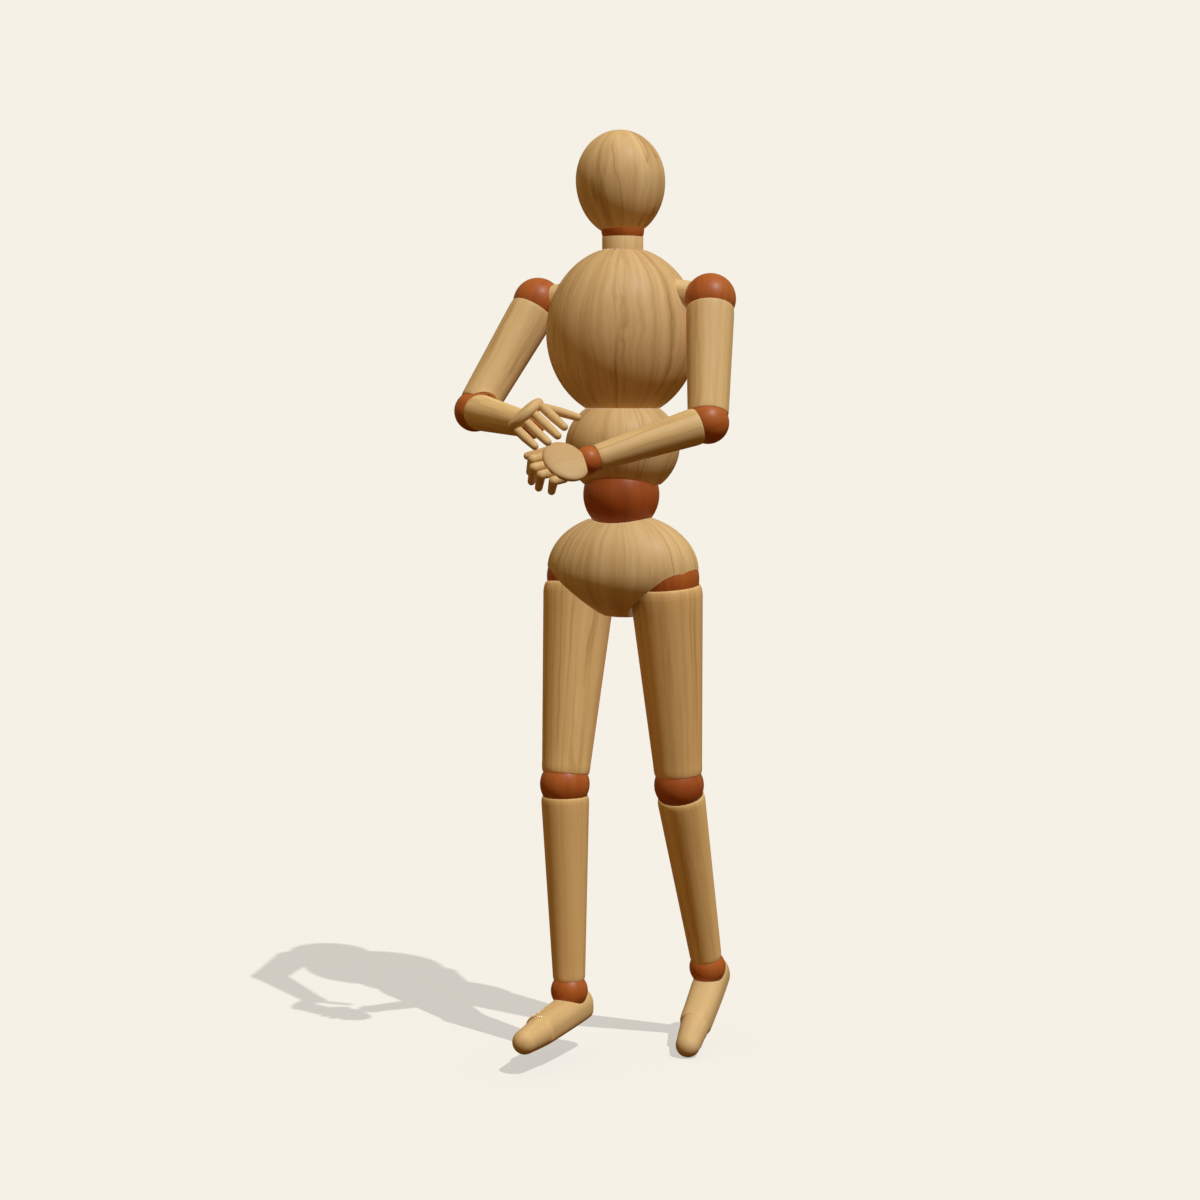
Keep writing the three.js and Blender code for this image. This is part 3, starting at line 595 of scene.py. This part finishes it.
def inside_egg(wide, deep, rise, drop, below=math.inf, above=-math.inf):
    """Tells the walls of bores and pockets, which get painted shade, from the outer faces of an egg and its
    flat cuts.
    """
    def painted_shade_wall(point):
        height = rise if point.z > 0 else drop
        share = (point.x / wide) ** 2 + (point.y / deep) ** 2 + (point.z / height) ** 2
        return share < EGG_SKIN and above + CUT_SKIN < point.z < below - CUT_SKIN
    return painted_shade_wall


def inside_cups(size):
    """Tells the floors of a limb's two cups, which get painted shade, from its outer faces."""
    top, bottom = size["balls"]
    far = Vector((0, 0, -size["length"]))
    return lambda point: point.length < top + CUP_SKIN or (point - far).length < bottom + CUP_SKIN


# Steps round the pith and along the plank from one piece to the next, and how far from the pith pieces lie
PITH_TURN, PLANK_STEP, PITH_NEAREST, PITH_SPREAD = 2.399, 137.0, 26, 17


def pith_for(seed):
    """Where a piece lay in the plank: each piece gets its own stretch of grain."""
    angle = seed * PITH_TURN
    reach = PITH_NEAREST + (seed * 7) % PITH_SPREAD
    return (reach * math.cos(angle), reach * math.sin(angle), PLANK_STEP * seed)


# Torso


def shifted(matrix, x, y, z):
    return matrix @ shift(x * MM, y * MM, z * MM)


def build_torso():
    waist = upright_at("waist_bend")
    waist_ball = ball("waist_ball_wood", WAIST_BALL)
    finish_piece(waist_ball, "waist_ball", waist, red_wood, (0, 30, 0), wrap=WAIST_BALL)
    build_head(upright_at("head_nod"))
    build_neck(upright_at("neck_turn"))
    build_chest(upright_at("chest_turn"))
    build_abdomen(shifted(waist, 0, WAIST_FORWARD, ABDOMEN_ABOVE_WAIST))
    build_pelvis(shifted(waist, 0, WAIST_FORWARD, -PELVIS_BELOW_WAIST))


def build_head(matrix):
    neck_ball = ball("neck_ball_wood", NECK_BALL)
    finish_piece(neck_ball, "neck_ball", matrix, red_wood, (20, 25, 90), wrap=NECK_BALL)
    outline = [(0, -HEAD_ABOVE)] + ellipse(HEAD_RADIUS, HEAD_DROP, -HEAD_ABOVE, 0, 30)
    outline += ellipse(HEAD_RADIUS, HEAD_RISE, 0, HEAD_RISE * NEAR_POLE, 30)[1:-1] + [(0, HEAD_RISE)]
    head = moved(lathe("head_wood", outline), shift(0, 0, HEAD_ABOVE))
    cut(head, [ball("head_cup", NECK_BALL + FIT)])
    finish_piece(head, "head", matrix @ turn(0, -HEAD_TILT), pale_wood, pith_for(3), wrap=HEAD_RADIUS)


def build_neck(matrix):
    outline = [
        (0, -NECK_SPIGOT_LENGTH), (NECK_SPIGOT_RADIUS, -NECK_SPIGOT_LENGTH), (NECK_SPIGOT_RADIUS, 0),
        (NECK_RADIUS, 0), (NECK_RADIUS, NECK_HEIGHT - NECK_EDGE_HEIGHT),
        (NECK_RADIUS - NECK_EDGE_WIDTH, NECK_HEIGHT), (0, NECK_HEIGHT)]
    neck = lathe("neck_wood", outline)
    cut(neck, [moved(ball("neck_cup", NECK_BALL + FIT), shift(0, 0, NECK_HEIGHT + NECK_BALL_ABOVE))])
    finish_piece(neck, "neck", matrix, pale_wood, pith_for(5), wrap=NECK_RADIUS)


def build_chest(matrix):
    curve = ellipse(CHEST_RADIUS, CHEST_HALF, -CHEST_BOTTOM, CHEST_TOP, 72)
    low = soften_corner((0, -CHEST_BOTTOM), curve[0], curve[2], CUT_EDGE)
    high = soften_corner(curve[-3], curve[-1], (0, CHEST_TOP), CUT_EDGE)
    outline = [(0, -CHEST_BOTTOM)] + low + curve[2:-2] + high + [(0, CHEST_TOP)]
    body = lathe("chest_wood", outline, EGG_SEGMENTS)
    centre = place("chest_turn")
    socket_floor = CHEST_TOP - NECK_SPIGOT_LENGTH - SOCKET_DEPTH_ROOM
    cutters = [rod("neck_socket", NECK_SPIGOT_RADIUS + SOCKET_ROOM, socket_floor, CHEST_TOP + OVERSHOOT)]
    for side in (LEFT, RIGHT):
        where = (place(f"{side}_shoulder_swing") - centre) / MM
        along = axis(f"{side}_shoulder_swing") * -SIGN[side]
        frame_in = local_frame(where, along, Vector((0, 1, 0)))
        bore = rod("stub_bore", STUB_RADIUS + FIT, STUB_BORE_START, STUB_END + SOCKET_DEPTH_ROOM)
        cutters.append(moved(bore, frame_in))
        room = ball("shoulder_room", SHOULDER_BALL + SHOULDER_ROOM, 64)
        cutters.append(moved(room, Matrix.Translation(where)))
    cut(body, cutters)
    bored = inside_egg(CHEST_RADIUS, CHEST_RADIUS, CHEST_HALF, CHEST_HALF, CHEST_TOP, -CHEST_BOTTOM)
    finish_piece(body, "chest", matrix, pale_wood, (4, 34, 20), wrap=CHEST_RADIUS, painted_shade_wall=bored)


def build_abdomen(matrix):
    curve = ellipse(ABDOMEN_RADIUS, ABDOMEN_DROP, -ABDOMEN_BOTTOM, 0, 30)
    curve += ellipse(ABDOMEN_RADIUS, ABDOMEN_RISE, 0, ABDOMEN_TOP, 30)[1:]
    high = soften_corner(curve[-3], curve[-1], (0, ABDOMEN_TOP), CUT_EDGE)
    outline = [(0, -ABDOMEN_BOTTOM)] + curve[:-2] + high + [(0, ABDOMEN_TOP)]
    body = lathe("abdomen_wood", outline, EGG_SEGMENTS)
    to_ball = shift(0, -WAIST_FORWARD, -ABDOMEN_ABOVE_WAIST)
    cup = moved(ball("waist_cup", WAIST_BALL + FIT), to_ball)
    tilt = Vector(RIM_UP).normalized().to_track_quat("Z", "Y").to_matrix().to_4x4()
    below = moved(slab("below_rim", -40, RIM_ABOVE_BALL), to_ball @ tilt)
    cut(body, [cup, below, rod("spring_bore", SPRING_BORE, -25, ABDOMEN_TOP + OVERSHOOT)])
    finish_piece(body, "abdomen", matrix, pale_wood, (-6, 31, 120), wrap=ABDOMEN_RADIUS)


def build_pelvis(matrix):
    curve = ellipse(1, PELVIS_DROP, -PELVIS_DROP * NEAR_POLE, 0)
    curve += ellipse(1, PELVIS_RISE, 0, PELVIS_RISE * NEAR_POLE)[1:]
    outline = [(0, -PELVIS_DROP)] + curve + [(0, PELVIS_RISE)]
    body = lathe("pelvis_wood", outline, EGG_SEGMENTS)
    moved(body, Matrix.Diagonal((PELVIS_WIDTH, PELVIS_DEPTH, 1, 1)))
    cutters = [moved(ball("waist_seat", WAIST_BALL + FIT), shift(0, -WAIST_FORWARD, PELVIS_BELOW_WAIST))]
    for side in (LEFT, RIGHT):
        where = matrix.inverted() @ place(f"{side}_hip_swing") / MM
        cutters.append(moved(ball("hip_seat", HIP_BALL + FIT), Matrix.Translation(where)))
        swing, abduct = HIP_REST[side]
        for extra in HIP_SWING:
            for spread in HIP_SPREAD:
                room = lathe("thigh_room", limb_profile(THIGH, grow=THIGH_ROOM, cupped=False), 48)
                pose = turn(swing + extra, abduct - SIGN[side] * spread)
                cutters.append(moved(room, Matrix.Translation(where) @ pose))
    cut(body, cutters)
    bored = inside_egg(PELVIS_WIDTH, PELVIS_DEPTH, PELVIS_RISE, PELVIS_DROP)
    finish_piece(body, "pelvis", matrix, pale_wood, (9, 33, 260), wrap=PELVIS_WIDTH, painted_shade_wall=bored)


# Arms


def build_arm(side, seed):
    shoulder = place(f"{side}_shoulder_swing")
    inward = axis(f"{side}_shoulder_swing") * -SIGN[side]
    name = f"{side}_shoulder_stub"
    stub = rod(f"{name}_wood", STUB_RADIUS, STUB_START, STUB_END, SEGMENTS)
    cut(stub, [ball("stub_cup", SHOULDER_BALL + FIT)])
    stub_frame = local_frame(shoulder, inward, Vector((0, 0, 1)))
    finish_piece(stub, name, stub_frame, pale_wood, pith_for(seed), wrap=STUB_RADIUS)

    arm = local_frame(shoulder, axis(f"{side}_upper_arm_twist"), axis(f"{side}_elbow_bend"))
    name = f"{side}_shoulder_ball"
    shoulder_ball = ball(f"{name}_wood", SHOULDER_BALL)
    finish_piece(shoulder_ball, name, arm, red_wood, pith_for(seed + 1), wrap=SHOULDER_BALL)

    name = f"{side}_upper_arm"
    upper = lathe(f"{name}_wood", limb_profile(UPPER_ARM))
    relief = []
    for extra in ELBOW_RELIEF[side]:
        room = lathe("forearm_room", limb_profile(FOREARM, grow=FOREARM_ROOM, cupped=False), 64)
        pose = shift(0, 0, -UPPER_ARM["length"]) @ turn(ELBOW_REST[side] + extra)
        relief.append(moved(room, pose))
    cut(upper, relief)
    finish_piece(upper, name, arm, pale_wood, pith_for(seed + 2), wrap=UPPER_ARM["top"],
                 painted_shade_wall=inside_cups(UPPER_ARM))

    elbow = place(f"{side}_elbow_bend")
    fore = local_frame(elbow, axis(f"{side}_forearm_twist"), axis(f"{side}_wrist_bend"))
    name = f"{side}_elbow_ball"
    elbow_ball = ball(f"{name}_wood", ELBOW_BALL)
    finish_piece(elbow_ball, name, fore, red_wood, pith_for(seed + 3), wrap=ELBOW_BALL)
    name = f"{side}_forearm"
    forearm = lathe(f"{name}_wood", limb_profile(FOREARM))
    finish_piece(forearm, name, fore, pale_wood, pith_for(seed + 4), wrap=FOREARM["top"],
                 painted_shade_wall=inside_cups(FOREARM))

    wrist = place(f"{side}_wrist_bend")
    across = axis(f"{side}_index_bend")
    hand = local_frame(wrist, across.cross(axis(f"{side}_wrist_tilt")), across)
    name = f"{side}_wrist_ball"
    wrist_ball = ball(f"{name}_wood", WRIST_BALL, 64)
    finish_piece(wrist_ball, name, hand, red_wood, pith_for(seed + 5), wrap=WRIST_BALL)
    build_hand(side, hand, seed + 6)


def digit_profile(length, far_radius, grow=0.0):
    """A finger length, round at its joint and at its far end."""
    near, far = FINGER_RADIUS + grow, far_radius + grow
    points = [(0, near)]
    for i in range(1, 9):
        a = math.pi / 2 * (1 - i / 8)
        points.append((near * math.cos(a), near * math.sin(a)))
    low = -length + far_radius
    for i in range(1, 8):
        points.append((near + (far - near) * i / 8, low * i / 8))
    for i in range(9):
        a = -math.pi / 2 * i / 8
        points.append((far * math.cos(a), low + far * math.sin(a)))
    points[-1] = (0, low - far)
    return points


def tip_bend(side, name):
    """How far a digit's tip is bent from its base in the photographed pose."""
    fingers, thumb = TIP_BEND[side]
    return thumb if name == "thumb" else fingers


def digit_frames(side, name):
    """The frames of a digit's base and tip, from its two joints."""
    knuckle = place(f"{side}_{name}_bend")
    tip_joint = place(f"{side}_{name}_tip_bend")
    across = axis(f"{side}_{name}_tip_bend")
    base = local_frame(knuckle, knuckle - tip_joint, across)
    tip = Matrix.Translation(tip_joint - knuckle) @ base @ turn(tip_bend(side, name))
    return base, tip


def palm_pad(name, side):
    """A lens with blunt edges, lying in the plane of the palm."""
    rows = 40
    profile = []
    for i in range(rows + 1):
        angle = math.pi * (i / rows - 0.5)
        height = math.copysign(abs(math.sin(angle)) ** PALM_FULLNESS, angle)
        profile.append((math.cos(angle) ** PALM_FULLNESS if 0 < i < rows else 0, height))
    pad = moved(lathe(name, profile, 96), Matrix.Rotation(math.pi / 2, 4, "X"))
    moved(pad, Matrix.Diagonal((*PALM[side], 1)))
    return moved(pad, shift(SIGN[side] * PALM_ASIDE[side], PALM_ABOVE[side], -PALM_REACH))


def finger_rooms(side, hand, name):
    """The rooms that a digit's base moves in, in the palm's frame."""
    length = DIGITS[name][0]
    bend_axis = hand.inverted().to_3x3() @ axis(f"{side}_index_bend")
    local = hand.inverted() @ digit_frames(side, name)[0]
    rooms = []
    for extra in FINGER_SWEEP:
        room = lathe("digit_room", digit_profile(length, FINGER_RADIUS, FINGER_ROOM), 32)
        swing = Matrix.Rotation(math.radians(extra), 4, bend_axis)
        pose = Matrix.Translation(local.to_translation() / MM) @ swing @ local.to_3x3().to_4x4()
        rooms.append(moved(room, pose))
    return rooms


def build_digit(side, name, pith):
    """A digit's base, hollowed for its tip through the tip's range, and the tip."""
    base, tip = digit_frames(side, name)
    base_length, tip_length = DIGITS[name]
    node_name = f"{side}_{name}_base"
    finger = lathe(f"{node_name}_wood", digit_profile(base_length, FINGER_RADIUS), DIGIT_SEGMENTS)
    lowest, highest = joints[f"{side}_{name}_tip_bend"]["range_deg"]
    rooms = []
    for extra in (lowest - 1, lowest * 2 / 3, lowest / 3, 0, min(highest, TIP_HOLLOW_END)):
        room = lathe("tip_room", digit_profile(tip_length, FINGERTIP_RADIUS, TIP_ROOM), DIGIT_SEGMENTS)
        pose = shift(0, 0, -base_length + FINGER_RADIUS) @ turn(tip_bend(side, name) + extra)
        rooms.append(moved(room, pose))
    cut(finger, rooms)
    finish_piece(finger, node_name, base, pale_wood, pith)
    node_name = f"{side}_{name}_tip"
    end = lathe(f"{node_name}_wood", digit_profile(tip_length, FINGERTIP_RADIUS), DIGIT_SEGMENTS)
    finish_piece(end, node_name, tip, pale_wood, pith)


def build_hand(side, hand, seed):
    palm = palm_pad(f"{side}_palm_wood", side)
    slant = shift(0, 0, -PALM_CUT) @ turn(0, -SIGN[side] * PALM_SLANT)
    cutters = [moved(slab("palm_end", 0, 20, radius=30), slant), ball("wrist_cup", WRIST_BALL + FIT, 64)]
    for index, name in enumerate(DIGITS):
        cutters += finger_rooms(side, hand, name)
        build_digit(side, name, pith_for(seed + index * 2))
    cut(palm, cutters)
    finish_piece(palm, f"{side}_palm", hand, pale_wood, pith_for(seed + 11))


# Legs


def build_leg(side, seed):
    hip, knee, ankle = place(f"{side}_hip_swing"), place(f"{side}_knee_bend"), place(f"{side}_ankle_bend")
    thigh = local_frame(hip, hip - knee, axis(f"{side}_knee_bend"))
    shin = local_frame(knee, axis(f"{side}_shin_twist"), axis(f"{side}_ankle_bend"))
    across = axis(f"{side}_toe_bend")
    foot = local_frame(ankle, across.cross(axis(f"{side}_foot_roll")), across)
    balls = (("hip_ball", HIP_BALL, thigh), ("knee_ball", KNEE_BALL, shin), ("ankle_ball", ANKLE_BALL, foot))
    for name, radius, matrix in balls:
        item = ball(f"{side}_{name}_wood", radius)
        finish_piece(item, f"{side}_{name}", matrix, red_wood, pith_for(seed + radius), wrap=radius)
    for number, name, size, matrix in ((1, "thigh", THIGH, thigh), (2, "shin", SHIN, shin)):
        item = lathe(f"{side}_{name}_wood", limb_profile(size))
        finish_piece(item, f"{side}_{name}", matrix, pale_wood, pith_for(seed + number), wrap=size["top"],
                     painted_shade_wall=inside_cups(size))
    build_foot(side, foot, seed + 3)


def smooth_stations(stations, steps):
    """Spreads (place, size, size, ...) stations into many, with a smooth curve through them."""
    made = []
    for i in range(len(stations) - 1):
        p0, p1 = stations[max(i - 1, 0)], stations[i]
        p2, p3 = stations[i + 1], stations[min(i + 2, len(stations) - 1)]
        for step in range(steps):
            t = step / steps
            row = []
            for a, b, c, d in zip(p0, p1, p2, p3):
                square, cube = 2 * a - 5 * b + 4 * c - d, 3 * b - a - 3 * c + d
                row.append(0.5 * (2 * b + (c - a) * t + square * t * t + cube * t ** 3))
            made.append(tuple(row))
    return made + [stations[-1]]


def foot_loft(name, stations, floor, sides=64):
    """A closed loft along -Y of arched sections with a flat sole."""
    rows = smooth_stations(stations, 8)
    vertices, faces = [], []
    for y, half, top, sole in rows:
        middle, rise = (top + sole) / 2, (top - sole) / 2
        for k in range(sides):
            angle = 2 * math.pi * (k + 0.5) / sides
            power = SOLE_POWER if math.sin(angle) < 0 else TOP_POWER
            x = half * math.copysign(abs(math.cos(angle)) ** SIDE_POWER, math.cos(angle))
            z = middle + rise * math.copysign(abs(math.sin(angle)) ** power, math.sin(angle))
            vertices.append((x, y, max(z, floor)))
    for r in range(len(rows) - 1):
        for k in range(sides):
            here, beside = r * sides + k, r * sides + (k + 1) % sides
            faces.append((here, beside, beside + sides, here + sides))
    faces.append(tuple(range(sides))[::-1])
    faces.append(tuple((len(rows) - 1) * sides + k for k in range(sides)))
    return new_object(name, vertices, faces)


def toe_bullet(name, grow=0.0):
    """A ball at the hinge and a smaller ball at the tip, joined by a cone, along -Y."""
    reach = TOE_REACH - TOE_TIP
    lean = math.asin((TOE_ROOT - TOE_TIP) / reach)
    profile = []
    arcs = ((TOE_ROOT, 0, -math.pi / 2, lean), (TOE_TIP, reach, lean, math.pi / 2))
    for radius, centre, start, end in arcs:
        for i in range(25):
            angle = start + (end - start) * i / 24
            profile.append(((radius + grow) * math.cos(angle), centre + (radius + grow) * math.sin(angle)))
    profile[0], profile[-1] = (0, profile[0][1]), (0, profile[-1][1])
    return moved(lathe(name, profile, 80), Matrix.Rotation(math.pi / 2, 4, "X"))


def build_foot(side, foot, seed):
    toe_place = foot.inverted() @ place(f"{side}_toe_bend") / MM
    body = foot_loft(f"{side}_foot_wood", FOOT_RINGS, -SOLE_DROP)
    cutters = [ball("ankle_cup", ANKLE_BALL + FIT)]
    for bend in TOE_SWEEP:
        room = toe_bullet("toe_room", TOE_ROOM)
        cutters.append(moved(room, Matrix.Translation(toe_place) @ turn(bend)))
    cut(body, cutters)
    along_foot = Matrix.Rotation(math.pi / 2, 4, "X")
    finish_piece(body, f"{side}_foot", foot, pale_wood, pith_for(seed), grain_turn=along_foot)
    toe = toe_bullet(f"{side}_toe_wood")
    cut(toe, [moved(slab("below_sole", -20, 0), shift(0, 0, TOE_DROP - SOLE_DROP))])
    matrix = foot @ Matrix.Translation(toe_place * MM)
    finish_piece(toe, f"{side}_toe", matrix, pale_wood, pith_for(seed + 1), grain_turn=along_foot)


# Stage: a pale floor and background, with the photograph's key light

BACKGROUND = (0.921, 0.877, 0.791)
# How dark the cast shadow is, and the floor's own colour, which its lamp makes up for
SHADOW, FLOOR_COLOR = 0.31, 0.3
FLOOR_REACH = 40
# What lights the figure from above, from below, from the key light and from behind
SKY = (0.40, 0.285, 0.12)
GROUND = (0.12, 0.045, 0.002)
KEY = (0.84, 0.92, 0.96)
BACK_LIGHT = 0.45


def sun(name, travel, level, angle=1.0):
    """A sun that lights a white surface facing it to the given level."""
    light = bpy.data.lights.new(name, "SUN")
    strength = max(level)
    light.energy = strength * math.pi
    light.color = [channel / strength for channel in level]
    light.angle = math.radians(angle)
    lamp = bpy.data.objects.new(name, light)
    lamp.rotation_euler = Vector(travel).to_track_quat("-Z", "Y").to_euler()
    bpy.context.scene.collection.objects.link(lamp)
    return lamp


def light_only(lamp, group, excluded=False):
    """Lets a lamp light only the floor, or all but the floor."""
    lamp.light_linking.receiver_collection = group
    if excluded:
        for linked in group.collection_objects:
            linked.light_linking.link_state = "EXCLUDE"


def camera_ray(tree):
    return node(tree, "ShaderNodeLightPath").outputs["Is Camera Ray"]


def floor_material():
    """Seen directly it is the background with a shadow on it; to the figure it is a dim glow from below."""
    material = bpy.data.materials.new("floor")
    material.use_nodes = True
    tree = material.node_tree
    tree.nodes.remove(tree.nodes["Principled BSDF"])
    shadowed = node(tree, "ShaderNodeBsdfDiffuse")
    shadowed.inputs["Color"].default_value = (FLOOR_COLOR, FLOOR_COLOR, FLOOR_COLOR, 1)
    base = node(tree, "ShaderNodeEmission")
    base_color = [(1 - SHADOW) * b - FLOOR_COLOR * k for b, k in zip(BACKGROUND, SKY)]
    base.inputs["Color"].default_value = (*base_color, 1)
    visible = node(tree, "ShaderNodeAddShader")
    tree.links.new(shadowed.outputs[0], visible.inputs[0])
    tree.links.new(base.outputs[0], visible.inputs[1])
    bounce = node(tree, "ShaderNodeEmission")
    bounce.inputs["Color"].default_value = (*GROUND, 1)
    total = node(tree, "ShaderNodeMixShader")
    tree.links.new(camera_ray(tree), total.inputs[0])
    tree.links.new(bounce.outputs[0], total.inputs[1])
    tree.links.new(visible.outputs[0], total.inputs[2])
    tree.links.new(total.outputs[0], tree.nodes["Material Output"].inputs["Surface"])
    return material


def build_world():
    world = bpy.data.worlds.new("studio")
    bpy.context.scene.world = world
    world.use_nodes = True
    tree = world.node_tree
    color = mix_colors(tree, camera_ray(tree), SKY, BACKGROUND)
    tree.links.new(color, tree.nodes["Background"].inputs["Color"])


def build_lights(floor):
    """One sun casts the shadow on the floor, and two light the figure and cast none, as in the photograph."""
    only_floor = bpy.data.collections.new("floor only")
    only_floor.objects.link(floor)
    no_floor = bpy.data.collections.new("not the floor")
    no_floor.objects.link(floor)
    fall = -Vector(SUN_TRAVEL).normalized().z
    level = [SHADOW * b / FLOOR_COLOR / fall for b in BACKGROUND]
    light_only(sun("floor_key", SUN_TRAVEL, level, 0.5), only_floor)
    azimuth = math.radians(CAMERA_AZIMUTH)
    from_behind = (math.sin(azimuth), -math.cos(azimuth), 0)
    for name, travel, level in (("key", SUN_TRAVEL, KEY), ("back", from_behind, [BACK_LIGHT] * 3)):
        lamp = sun(name, travel, level)
        lamp.data.use_shadow = False
        light_only(lamp, no_floor, excluded=True)


def build_stage():
    corners = [(x * FLOOR_REACH, y * FLOOR_REACH, 0) for x, y in ((-1, -1), (1, -1), (1, 1), (-1, 1))]
    floor = new_object("floor", corners, [(0, 1, 2, 3)])
    floor.data.materials.append(floor_material())
    build_world()
    build_lights(floor)


def dress_springs():
    for name in ("shoulder_spring", "neck_spring", "waist_spring"):
        spring = frame["nodes"][name]
        spring.data.materials.clear()
        spring.data.materials.append(spring_steel)


def build_camera():
    camera = bpy.data.cameras.new("camera")
    camera.lens = LENS
    camera.sensor_width = SENSOR_WIDTH
    camera.clip_end = FAR_CLIP
    item = bpy.data.objects.new("camera", camera)
    item.location = Vector(CAMERA_PLACE) * MM + place("waist_bend")
    azimuth, down = math.radians(CAMERA_AZIMUTH), math.radians(CAMERA_DOWN)
    item.rotation_euler = Euler((math.pi / 2 - down, 0, azimuth))
    bpy.context.scene.collection.objects.link(item)
    bpy.context.scene.camera = item


build_camera()
build_torso()
build_arm(LEFT, 11)
build_arm(RIGHT, 41)
build_leg(LEFT, 71)
build_leg(RIGHT, 91)
dress_springs()
build_stage()
bpy.context.scene.view_settings.view_transform = "Standard"
